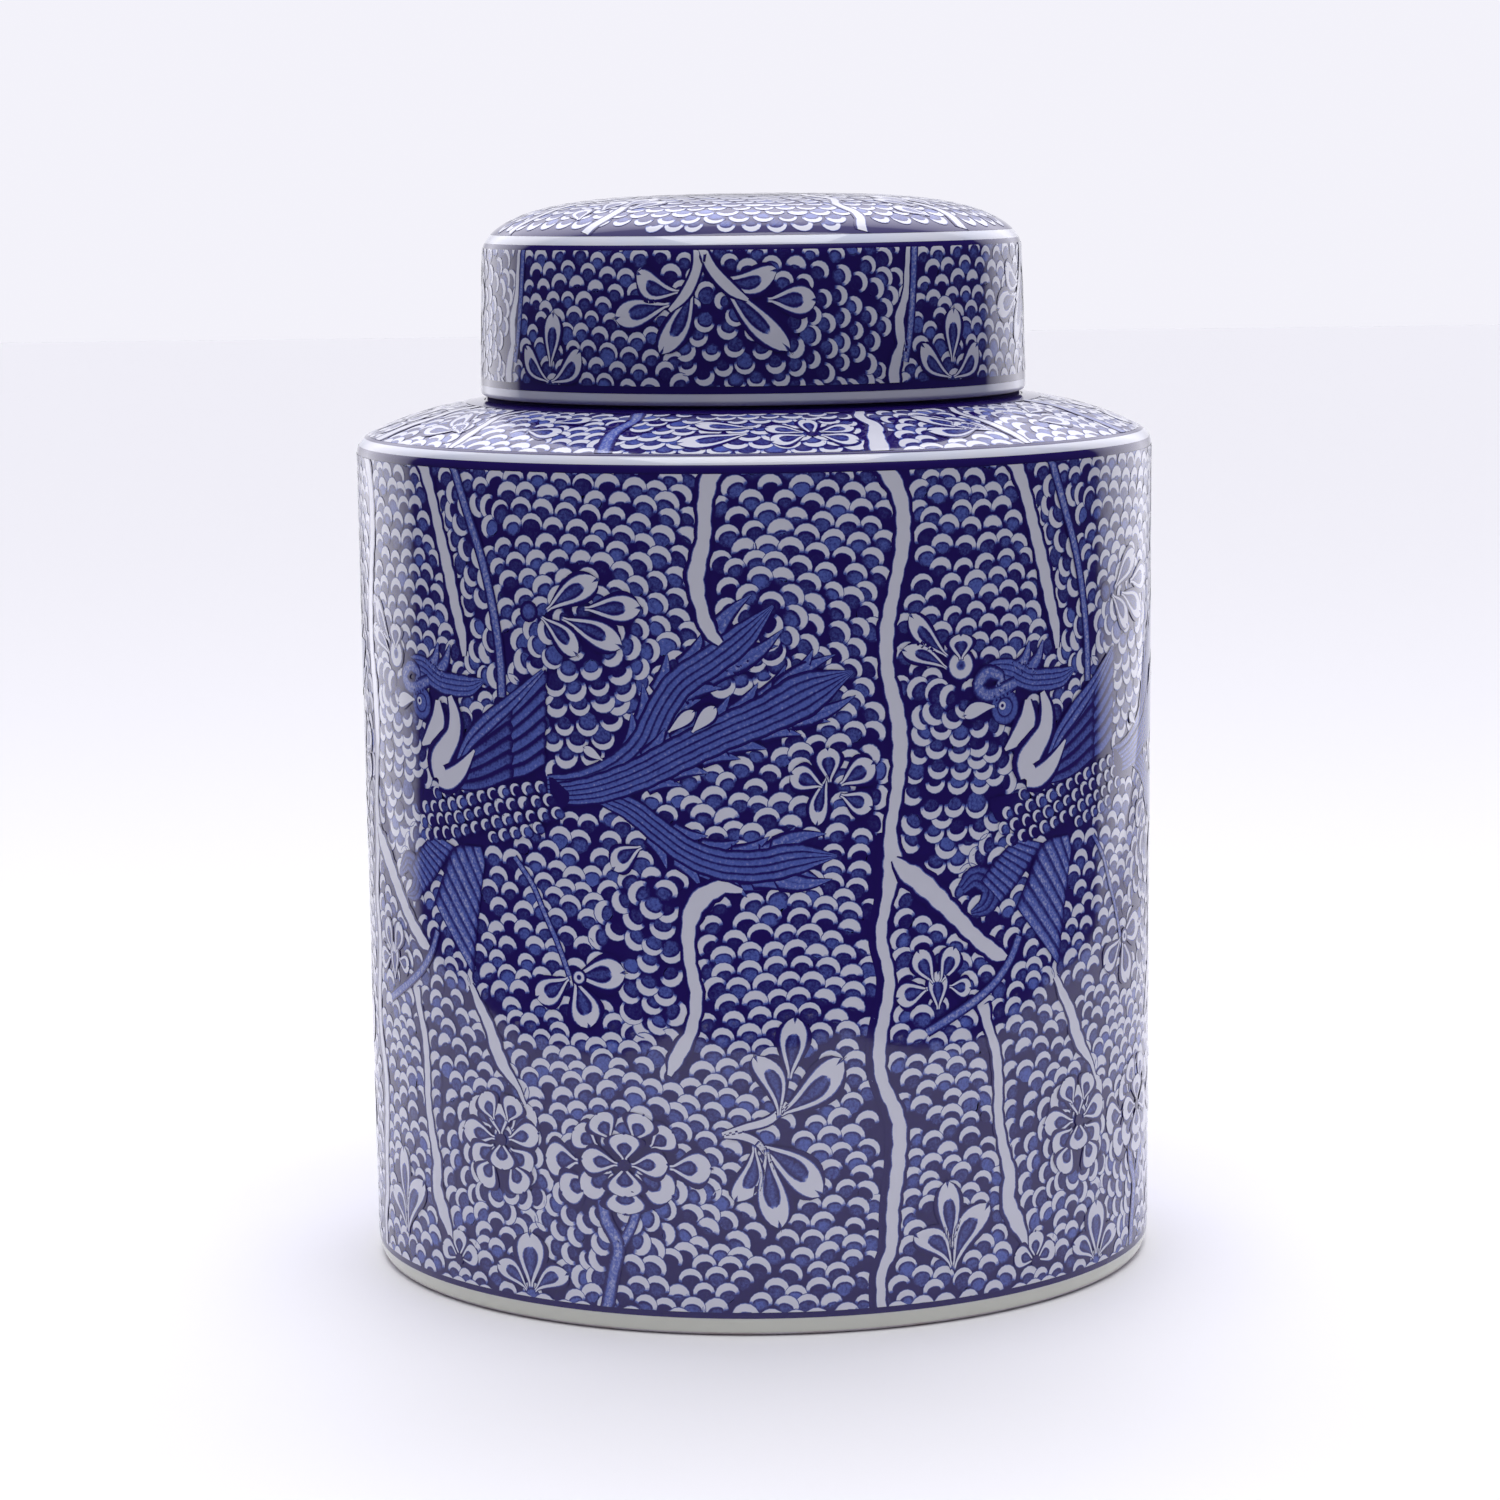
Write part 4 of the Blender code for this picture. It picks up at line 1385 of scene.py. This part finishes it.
def cobalt_group():
    """Cobalt under a clear glaze: strong paint is dark, thin paint is a blue wash, its edges bleed a
    little, and it pools and thins over a few millimetres."""
    colour, number, vector = "NodeSocketColor", "NodeSocketFloat", "NodeSocketVector"
    inputs = (
        ("Paint", number, 1.0), ("Position", vector, None), ("White", colour, None),
        ("Wash", colour, None), ("Dark", colour, None), ("Pooling", number, 0.25),
        ("Bleed", number, 0.5),
    )
    tree, wires, source, result = new_group("cobalt_under_glaze", inputs, (("Color", colour, None),))
    paint = source.outputs["Paint"]
    position = source.outputs["Position"]
    fine = wires.math("SUBTRACT", wires.noise(position, 1500.0, 3.0, 0.6), 0.5)
    edge = wires.math("MULTIPLY", paint, wires.math("SUBTRACT", 1.0, paint))
    bleed = wires.math("MULTIPLY", source.outputs["Bleed"], 4.0)
    bled = wires.math("MULTIPLY", wires.math("MULTIPLY", fine, edge), bleed)
    pool = wires.math("SUBTRACT", wires.noise(position, 150.0, 4.0, 0.65), 0.5)
    pooled = wires.math("MULTIPLY", wires.math("MULTIPLY", pool, source.outputs["Pooling"]), paint)
    strength = wires.math("ADD", wires.math("ADD", paint, bled), pooled, clamp=True)
    thin, full = wires.smooth(strength, 0.04, 0.48), wires.smooth(strength, 0.46, 0.98)
    washed = wires.blend(thin, source.outputs["White"], source.outputs["Wash"])
    painted = wires.blend(full, washed, source.outputs["Dark"])
    wires.put(result.inputs["Color"], painted)
    return tree


def glaze_skin_group():
    """The glaze's surface: long shallow waves from throwing and a faint orange peel, as a normal."""
    number, vector = "NodeSocketFloat", "NodeSocketVector"
    inputs = (("Position", vector, None), ("Waves", number, 1.0), ("Peel", number, 1.0))
    tree, wires, source, result = new_group("glaze_skin", inputs, (("Normal", vector, None),))
    position = source.outputs["Position"]
    waves = wires.math("MULTIPLY", wires.noise(position, 26.0, 1.0), source.outputs["Waves"])
    peel = wires.math("MULTIPLY", wires.noise(position, 420.0, 2.0), source.outputs["Peel"])
    height = wires.math("ADD", wires.math("MULTIPLY", waves, 0.14), wires.math("MULTIPLY", peel, 0.004))
    bump = wires.node("ShaderNodeBump")
    bump.inputs["Strength"].default_value = 1.0
    bump.inputs["Distance"].default_value = 0.001
    wires.put(bump.inputs["Height"], height)
    wires.put(result.inputs["Normal"], bump.outputs["Normal"])
    return tree


def new_material(name):
    """A material, its wires and its shader."""
    material = bpy.data.materials.new(name)
    material.use_nodes = True
    wires = Wires(material.node_tree)
    return material, wires, material.node_tree.nodes["Principled BSDF"]


def use_group(wires, tree, values):
    """A node of the group, with its inputs set or linked by name."""
    made = wires.node("ShaderNodeGroup", node_tree=tree)
    for label, value in values.items():
        wires.put(made.inputs[label], value)
    return made


def shared_group(name, maker):
    """The group of this name, made on its first use."""
    return bpy.data.node_groups.get(name) or maker()


def opaque(colour):
    """The colour with full alpha."""
    return (*colour, 1.0)


GLAZE_IOR = 1.54


def add_glaze(wires, shader, position):
    """A clear, glossy glaze over whatever the colour is."""
    skin = use_group(wires, shared_group("glaze_skin", glaze_skin_group), {"Position": position})
    wires.put(shader.inputs["Normal"], skin.outputs["Normal"])
    shader.inputs["Roughness"].default_value = bpy.context.scene.jar_colours.gloss
    shader.inputs["IOR"].default_value = GLAZE_IOR


def painted_glaze():
    """Underglaze painting: its paint attribute sets how strong the cobalt is."""
    found = bpy.data.materials.get("painted_glaze")
    if found:
        return found
    colours = bpy.context.scene.jar_colours
    material, wires, shader = new_material("painted_glaze")
    position = wires.node("ShaderNodeTexCoord").outputs["Object"]
    paint = wires.node("ShaderNodeAttribute", attribute_name="paint").outputs["Fac"]
    values = {
        "Paint": paint,
        "Position": position,
        "White": opaque(colours.white),
        "Wash": opaque(colours.wash),
        "Dark": opaque(colours.cobalt),
        "Pooling": 0.34,
        "Bleed": 0.8,
    }
    cobalt = use_group(wires, shared_group("cobalt_under_glaze", cobalt_group), values)
    wires.put(shader.inputs["Base Color"], cobalt.outputs["Color"])
    add_glaze(wires, shader, position)
    return material


def white_glaze():
    """Bare white porcelain under clear glaze, with a faint blue breath where the glaze is thick."""
    found = bpy.data.materials.get("white_glaze")
    if found:
        return found
    colours = bpy.context.scene.jar_colours
    material, wires, shader = new_material("white_glaze")
    position = wires.node("ShaderNodeTexCoord").outputs["Object"]
    cloud = wires.smooth(wires.noise(position, 45.0, 3.0, 0.6), 0.35, 0.75)
    thick = tuple(c * k for c, k in zip(colours.white, (0.90, 0.95, 1.02)))
    clouded = wires.blend(cloud, opaque(colours.white), opaque(thick))
    split = wires.node("ShaderNodeSeparateXYZ")
    wires.put(split.inputs[0], position)
    above_foot = wires.smooth(split.outputs["Z"], 0.0035, 0.0065)
    near_foot = wires.math("SUBTRACT", 1.0, above_foot)
    wires.put(shader.inputs["Base Color"], wires.blend(near_foot, clouded, opaque(colours.foot)))
    add_glaze(wires, shader, position)
    return material


def bare_porcelain():
    """Unglazed fired clay: matt, grainy, and toasted a warm brown in patches."""
    found = bpy.data.materials.get("bare_porcelain")
    if found:
        return found
    colours = bpy.context.scene.jar_colours
    material, wires, shader = new_material("bare_porcelain")
    position = wires.node("ShaderNodeTexCoord").outputs["Object"]
    toast = wires.smooth(wires.noise(position, 60.0, 4.0, 0.7), 0.38, 0.8)
    pale = tuple(0.3 * a + 0.7 * b for a, b in zip(colours.biscuit, colours.white))
    warm = tuple(0.6 * a + 0.4 * b for a, b in zip(colours.biscuit, colours.white))
    wires.put(shader.inputs["Base Color"], wires.blend(toast, opaque(pale), opaque(warm)))
    bump = wires.node("ShaderNodeBump")
    bump.inputs["Strength"].default_value = 0.6
    bump.inputs["Distance"].default_value = 0.0002
    wires.put(bump.inputs["Height"], wires.noise(position, 2600.0, 3.0, 0.7))
    wires.put(shader.inputs["Normal"], bump.outputs["Normal"])
    shader.inputs["Roughness"].default_value = 0.8
    return material


# --------------------------------------------------------------------------------------------------
# Settings
# --------------------------------------------------------------------------------------------------


class JarSizes(PropertyGroup):
    """How finely the jar is turned and painted."""

    segments: IntProperty(
        name="Segments", description="Flats round each turned piece", default=256, min=32
    )
    pitch: FloatProperty(
        name="Scale pitch", description="Width of a scale on the wall, mm", default=6.2, min=3.0
    )
    row: FloatProperty(
        name="Scale row", description="Height from a row of scales to the next, mm",
        default=3.75, min=2.0,
    )
    lid_pitch: FloatProperty(
        name="Lid pitch", description="Width of a scale on the lid, mm", default=5.8, min=3.0
    )
    lid_row: FloatProperty(
        name="Lid row", description="Height from a row to the next on the lid, mm", default=3.6, min=2.0
    )
    seed: IntProperty(
        name="Seed", description="Seed of the small differences between scales", default=11
    )


class JarColours(PropertyGroup):
    """Colours of the clay, the glaze and the cobalt, as linear values."""

    white: FloatVectorProperty(
        name="White", description="Porcelain under clear glaze",
        default=(0.73, 0.735, 0.86), subtype="COLOR", min=0, max=1,
    )
    wash: FloatVectorProperty(
        name="Wash", description="Thin cobalt",
        default=(0.100, 0.143, 0.520), subtype="COLOR", min=0, max=1,
    )
    cobalt: FloatVectorProperty(
        name="Cobalt", description="Full cobalt",
        default=(0.016, 0.006, 0.125), subtype="COLOR", min=0, max=1,
    )
    foot: FloatVectorProperty(
        name="Foot", description="Glaze that ran together over the foot",
        default=(0.74, 0.75, 0.68), subtype="COLOR", min=0, max=1,
    )
    biscuit: FloatVectorProperty(
        name="Biscuit", description="Bare clay where it toasted",
        default=(0.40, 0.25, 0.16), subtype="COLOR", min=0, max=1,
    )
    gloss: FloatProperty(
        name="Gloss roughness", description="Roughness of the glaze", default=0.05, min=0, max=1
    )


class StudioSettings(PropertyGroup):
    """Where the camera stands and how bright the studio is."""

    distance: FloatProperty(
        name="Distance", description="Camera to the jar's axis", default=1.1057, unit="LENGTH"
    )
    height: FloatProperty(
        name="Height", description="Camera over the table", default=0.2757, unit="LENGTH"
    )
    pitch: FloatProperty(
        name="Pitch", description="Tilt down", default=math.radians(7.66), unit="ROTATION"
    )
    roll: FloatProperty(
        name="Roll", description="Turn about the view", default=math.radians(-0.70), unit="ROTATION"
    )
    yaw: FloatProperty(
        name="Yaw", description="Turn to the left", default=math.radians(0.10), unit="ROTATION"
    )
    lens: FloatProperty(name="Lens", description="Focal length, mm", default=104.9, min=10)
    backdrop: FloatProperty(
        name="Backdrop", description="Brightness of the backdrop", default=0.90, min=0
    )
    sides: FloatProperty(
        name="Side panels", description="Brightness of the panels beside it", default=1.95, min=0
    )
    room: FloatProperty(name="Room", description="Brightness behind the camera", default=0.05, min=0)
    ceiling: FloatProperty(name="Ceiling", description="Brightness straight up", default=0.9, min=0)
    overhead: FloatProperty(
        name="Overhead", description="Power of the lamp above, W", default=6.8, min=0
    )


# --------------------------------------------------------------------------------------------------
# Operators
# --------------------------------------------------------------------------------------------------


def finish(piece, body, slot, *nodes):
    """Ties a piece to its body and hides the nodes that it stands for. slot, its finish, is not used."""
    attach(piece, body)
    if nodes:
        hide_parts(*nodes)


def belt_faces(rows, segments):
    """Faces of a grid whose last column joins its first, row by row outwards."""
    index = np.arange(rows * segments).reshape(rows, segments)
    after = np.roll(index, -1, axis=1)
    return np.stack([index[:-1], after[:-1], after[1:], index[1:]], axis=-1).reshape(-1, 4)


def band(zone, low, high, rows, segments, circle):
    """A closed belt round a zone: a grid of (angle, height) whose last column joins its first. The rows
    draw together towards both edges, where the surface turns."""
    u = np.linspace(0, circle, segments + 1)[:-1]
    v = low + (high - low) * (0.5 - 0.5 * np.cos(np.linspace(0, math.pi, rows)))
    grid_u, grid_v = np.meshgrid(u, v)
    points, normals = zone.place(grid_u.ravel(), grid_v.ravel(), np.full(grid_u.size, GROUND_LIFT))
    return points, normals, belt_faces(rows, segments)


def crown_disc(rows, segments):
    """A round sheet over the lid's crown: rings from the middle out, and one face inside the first."""
    reach = np.sin(np.linspace(0.01, math.pi / 2, rows)) ** 0.8
    turn, radius = np.meshgrid(2 * math.pi * np.arange(segments) / segments, LID_TOP_BAND * reach)
    u, v = radius * np.sin(turn), -radius * np.cos(turn)
    points, normals = on_lid_top(u.ravel(), v.ravel(), np.full(radius.size, GROUND_LIFT))
    faces = belt_faces(rows, segments)[:, ::-1].tolist()
    faces.append(list(range(segments)))
    return points, normals, faces


FOOT_BARE = 4  # points at the end of the jar's outside that are bare
SOLE_BARE = 3  # points at the start of the recess that are bare


class JAR_OT_porcelain(Operator):
    """Turns the jar: white glaze inside and out, bare clay on the neck, the seat and the foot ring, and
    full cobalt on the seat's edge and step as painted shade under the lid's rim.
    """

    bl_idname = "ginger_jar.porcelain"
    bl_label = "Jar"

    def execute(self, context):
        outside, recess = outer_jar_profile(), recess_profile()
        stretches = [
            (inner_jar_profile(), white_glaze()),
            (neck_profile(), bare_porcelain()),
            # painted shade: the seat's edge and step are full cobalt, to darken the gap under the lid's
            # rim
            (seat_step_shade_profile(), painted_glaze()),
            (outside[: 1 - FOOT_BARE], white_glaze()),
            (run(outside[-FOOT_BARE:], recess[:SOLE_BARE]), bare_porcelain()),
            (recess[SOLE_BARE - 1 :], white_glaze()),
        ]
        piece = turned_object("jar_porcelain", stretches, context.scene.jar_sizes.segments)
        finish(piece, "jar", "white_glaze", "jar_body")
        return {"FINISHED"}


class JAR_OT_lid(Operator):
    """Turns the cap lid: white glaze outside and in its hollow, bare clay on the rim."""

    bl_idname = "ginger_jar.lid"
    bl_label = "Lid"

    def execute(self, context):
        stretches = [
            (lid_hollow_profile()[::-1], white_glaze()),
            (lid_rim_profile()[::-1], bare_porcelain()),
            (lid_profile()[::-1], white_glaze()),
        ]
        piece = turned_object("lid_porcelain", stretches, context.scene.jar_sizes.segments)
        piece.data.flip_normals()
        finish(piece, "lid", "white_glaze", "lid")
        return {"FINISHED"}


class JAR_OT_grounds(Operator):
    """Lays the belts of full cobalt that the scales stand on."""

    bl_idname = "ginger_jar.grounds"
    bl_label = "Cobalt grounds"

    def execute(self, context):
        segments = context.scene.jar_sizes.segments
        shoulder_wide = SHOULDER_BAND[1] - SHOULDER_BAND[0]
        belts = (
            ("wall_ground", WALL, WALL_BAND[0], WALL_BAND[1], 48, 2 * math.pi * BODY_RADIUS, "jar"),
            ("shoulder_ground", SHOULDER, 0.0, shoulder_wide, 24, 2 * math.pi * SHOULDER_REFERENCE,
             "jar"),
            ("lid_side_ground", LID_SIDE, LID_BAND[0], LID_BAND[1], 24, 2 * math.pi * LID_RADIUS,
             "lid"),
        )
        for name, zone, low, high, rows, circle, body in belts:
            points, normals, faces = band(zone, low, high, rows, segments, circle)
            paint = np.full(len(points), DARK)
            piece = mesh_object(name, points, faces, [painted_glaze()], paint, normals)
            finish(piece, body, "cobalt_dark")
        points, normals, faces = crown_disc(48, segments)
        paint = np.full(len(points), DARK)
        piece = mesh_object("lid_top_ground", points, faces, [painted_glaze()], paint, normals)
        finish(piece, "lid", "cobalt_dark")
        return {"FINISHED"}


class JAR_OT_wall(Operator):
    """Paints the wall: one quarter of scales and garden is laid out and set round the jar four
    times."""

    bl_idname = "ginger_jar.wall"
    bl_label = "Wall painting"

    def execute(self, context):
        sizes = context.scene.jar_sizes
        rng = np.random.default_rng(sizes.seed)
        garden = paint_wall_garden()
        ground = painted_ground(
            wall_flow(), (12.0, 190.0), sizes.pitch, sizes.row, rng, within(WALL, 2.0, 1.0), garden, 0.96
        )
        for quarter in range(QUARTERS):
            scales = ground.piece(f"wall_scales_{quarter + 1}", painted_glaze(), quarter)
            finish(scales, "jar", "white_glaze")
            flowers = garden.piece(f"wall_garden_{quarter + 1}", painted_glaze(), quarter)
            finish(flowers, "jar", "cobalt_wash")
        return {"FINISHED"}


def within(zone, below, above):
    """A test for places no further than this below the zone's lower edge and above its upper one."""
    return lambda u, v: zone.low - below < v < zone.high + above


def four_times(painting):
    """The same quarter's grids set round the whole zone."""
    whole = Painting(painting.zone)
    for quarter in range(QUARTERS):
        whole.add_all(painting, quarter * painting.zone.unit)
    return whole


SHOULDER_SHARE = 0.92  # size of the shoulder's scales beside the wall's


class JAR_OT_shoulder(Operator):
    """Paints the shoulder: scales, white branches, blue stems and sprays."""

    bl_idname = "ginger_jar.shoulder"
    bl_label = "Shoulder painting"

    def execute(self, context):
        sizes = context.scene.jar_sizes
        rng = np.random.default_rng(sizes.seed + 1)
        garden = paint_shoulder_garden()
        pulls = ((-2, 12, 24, 0, -1, 3.4), (16, 12, 14, 0, -1, 2.0), (-20, 12, 12, 0, -1, 2.0))
        flow = Flow(SHOULDER, (0.0, 1.0), pulls, (), branch_points(SHOULDER_BRANCHES))
        pitch, row = sizes.pitch * SHOULDER_SHARE, sizes.row * SHOULDER_SHARE
        ground = painted_ground(flow, (80.0, 2.4), pitch, row, rng, within(SHOULDER, 1.5, 1.0), garden)
        finish(four_times(ground).piece("shoulder_scales", painted_glaze()), "jar", "white_glaze")
        finish(four_times(garden).piece("shoulder_garden", painted_glaze()), "jar", "cobalt_wash")
        return {"FINISHED"}


LID_FILL = 0.86


class JAR_OT_lid_side(Operator):
    """Paints the lid's side: scales, hanging sprays, low plants and white branches."""

    bl_idname = "ginger_jar.lid_side"
    bl_label = "Lid side painting"

    def execute(self, context):
        sizes = context.scene.jar_sizes
        rng = np.random.default_rng(sizes.seed + 2)
        garden = paint_lid_side_garden()
        pulls = (
            (-5, 231, 11, 0, -1, 3.2), (7, 226, 8, 0.3, -1, 2.0), (24, 240, 11, 1.2, -0.2, 2.6),
            (26, 228, 9, 1.0, -0.6, 2.4),
        )
        flow = Flow(LID_SIDE, (0.0, 1.0), pulls, ((6, 242, 14, 1.0),), branch_points(LID_BRANCHES))
        allowed = within(LID_SIDE, 1.6, 0.6)
        ground = painted_ground(
            flow, (-40.0, 246.0), sizes.lid_pitch, sizes.lid_row, rng, allowed, garden, LID_FILL
        )
        finish(four_times(ground).piece("lid_side_scales", painted_glaze()), "lid", "white_glaze")
        finish(four_times(garden).piece("lid_side_garden", painted_glaze()), "lid", "cobalt_wash")
        return {"FINISHED"}


class JAR_OT_lid_top(Operator):
    """Paints the lid's top: scales whose arches point outwards, branches, sprays and a middle
    blossom."""

    bl_idname = "ginger_jar.lid_top"
    bl_label = "Lid top painting"

    def execute(self, context):
        sizes = context.scene.jar_sizes
        rng = np.random.default_rng(sizes.seed + 3)
        garden = paint_lid_top_garden()
        pitch, row = sizes.lid_pitch, sizes.lid_row
        edge = LID_TOP_BAND - 0.82 * row

        def allowed(u, v):
            """Whether a scale's arch stays on the crown."""
            return math.hypot(u, v) < edge

        flow = Flow(LID_TOP, None)
        ground = painted_ground(flow, (0.0, -edge + 0.2), pitch, row, rng, allowed, garden, LID_FILL)
        finish(ground.piece("lid_top_scales", painted_glaze()), "lid", "white_glaze")
        finish(garden.piece("lid_top_garden", painted_glaze()), "lid", "cobalt_wash")
        return {"FINISHED"}


STUDIO_TINT = (1.0, 0.99, 1.065)
LAMP_PLACE, LAMP_AIM, LAMP_SIZE = (0.02, -0.30, 1.25), (0.0, -0.05, 0.2), (0.9, 0.7)
TABLE_CORNERS = ((0.17, -0.44), (0.5, -0.05), (1.7, 6.0))  # on its right half, from the camera backwards
TABLE_COLOUR = (0.908, 0.900, 0.950)


def set_world(studio):
    """The studio all round: a backdrop, bright panels on both sides of it and a dim room behind the
    camera. The ramp runs from the camera's side, at 0, to the far side, at 1."""
    world = bpy.data.worlds.new("studio")
    bpy.context.scene.world = world
    world.use_nodes = True
    tree = world.node_tree
    wires = Wires(tree)
    direction = wires.node("ShaderNodeTexCoord").outputs["Generated"]
    split = wires.node("ShaderNodeSeparateXYZ")
    wires.put(split.inputs[0], direction)
    ceiling = wires.math("MULTIPLY", wires.smooth(split.outputs["Z"], 0.45, 0.95), studio.ceiling)
    ramp = wires.node("ShaderNodeValToRGB")
    wires.put(ramp.inputs[0], wires.math("MULTIPLY_ADD", split.outputs["Y"], 0.5, 0.5))
    stops = (
        (0.0, studio.room),
        (0.708, studio.room * 1.3),
        (0.733, studio.sides * 0.55),
        (0.78, studio.sides * 0.85),
        (0.85, studio.sides),
        (0.93, studio.sides),
        (0.975, studio.backdrop),
    )
    elements = ramp.color_ramp.elements
    while len(elements) < len(stops):
        elements.new(0.5)
    top = max(value for _, value in stops)
    for element, (place, value) in zip(elements, stops):
        element.position = place
        element.color = opaque([tint * value / top for tint in STUDIO_TINT])
    background = tree.nodes["Background"]
    around = wires.node("ShaderNodeVectorMath", operation="SCALE")
    wires.put(around.inputs[0], ramp.outputs["Color"])
    around.inputs["Scale"].default_value = top
    total = wires.node("ShaderNodeVectorMath", operation="ADD")
    wires.put(total.inputs[0], around.outputs[0])
    wires.put(total.inputs[1], ceiling)
    wires.put(background.inputs["Color"], total.outputs[0])


def area_lamp(name, place, aim, size, power):
    """A soft white rectangular lamp at place that shines on aim."""
    lamp = bpy.data.lights.new(name, "AREA")
    lamp.shape = "RECTANGLE"
    lamp.size, lamp.size_y = size
    lamp.energy = power
    holder = bpy.data.objects.new(name, lamp)
    holder.location = place
    east, north, up = (a - p for a, p in zip(aim, place))
    holder.rotation_euler = (math.atan2(math.hypot(east, north), -up), 0.0, math.atan2(-east, north))
    bpy.context.scene.collection.objects.link(holder)


class JAR_OT_studio(Operator):
    """Sets the camera, the white table, the world and the lamp above."""

    bl_idname = "ginger_jar.studio"
    bl_label = "Studio"

    def execute(self, context):
        studio = context.scene.jar_studio
        camera = bpy.data.cameras.new("camera")
        camera.lens = studio.lens
        camera.sensor_width = 36.0
        holder = bpy.data.objects.new("camera", camera)
        holder.location = (0.0, -studio.distance, studio.height)
        level = Euler((math.pi / 2 - studio.pitch, 0.0, studio.yaw)).to_quaternion()
        holder.rotation_mode = "QUATERNION"
        holder.rotation_quaternion = level @ Quaternion((0.0, 0.0, 1.0), studio.roll)
        context.scene.collection.objects.link(holder)
        context.scene.camera = holder
        context.scene.view_settings.view_transform = "Standard"
        set_world(studio)
        area_lamp("overhead", LAMP_PLACE, LAMP_AIM, LAMP_SIZE, studio.overhead)
        self.table()
        return {"FINISHED"}

    def table(self):
        """The white table, which ends before the camera and runs on far behind the jar."""
        right = [(x, y, 0) for x, y in TABLE_CORNERS]
        left = [(-x, y, 0) for x, y in TABLE_CORNERS[::-1]]
        points = np.array(right + left) / MM
        material, _, shader = new_material("white_table")
        shader.inputs["Base Color"].default_value = opaque(TABLE_COLOUR)
        shader.inputs["Roughness"].default_value = 0.6
        mesh_object("table", points, np.array([range(6)]), [material])


class JAR_PT_panel(Panel):
    """Lists the sizes and colours, and a button for each step."""

    bl_idname = "JAR_PT_panel"
    bl_label = "Ginger Jar"
    bl_space_type = "VIEW_3D"
    bl_region_type = "UI"
    bl_category = "Ginger Jar"

    def draw(self, context):
        for group in (context.scene.jar_sizes, context.scene.jar_colours, context.scene.jar_studio):
            box = self.layout.box()
            for name in group.__annotations__:
                box.prop(group, name)
        for operator in OPERATORS:
            self.layout.operator(operator.bl_idname)


GROUPS = (("jar_sizes", JarSizes), ("jar_colours", JarColours), ("jar_studio", StudioSettings))
OPERATORS = (
    JAR_OT_porcelain,
    JAR_OT_lid,
    JAR_OT_grounds,
    JAR_OT_wall,
    JAR_OT_shoulder,
    JAR_OT_lid_side,
    JAR_OT_lid_top,
    JAR_OT_studio,
)


def register():
    """Adds the settings, the operators and the panel."""
    for name, group in GROUPS:
        bpy.utils.register_class(group)
        setattr(bpy.types.Scene, name, PointerProperty(type=group))
    for cls in (*OPERATORS, JAR_PT_panel):
        bpy.utils.register_class(cls)


def unregister():
    """Takes them away again."""
    for cls in reversed((*OPERATORS, JAR_PT_panel)):
        bpy.utils.unregister_class(cls)
    for name, group in reversed(GROUPS):
        delattr(bpy.types.Scene, name)
        bpy.utils.unregister_class(group)


def main():
    """Builds the jar and its studio step by step."""
    register()
    for operator in OPERATORS:
        family, name = operator.bl_idname.split(".")
        getattr(getattr(bpy.ops, family), name)()


if __name__ == "__main__":
    main()
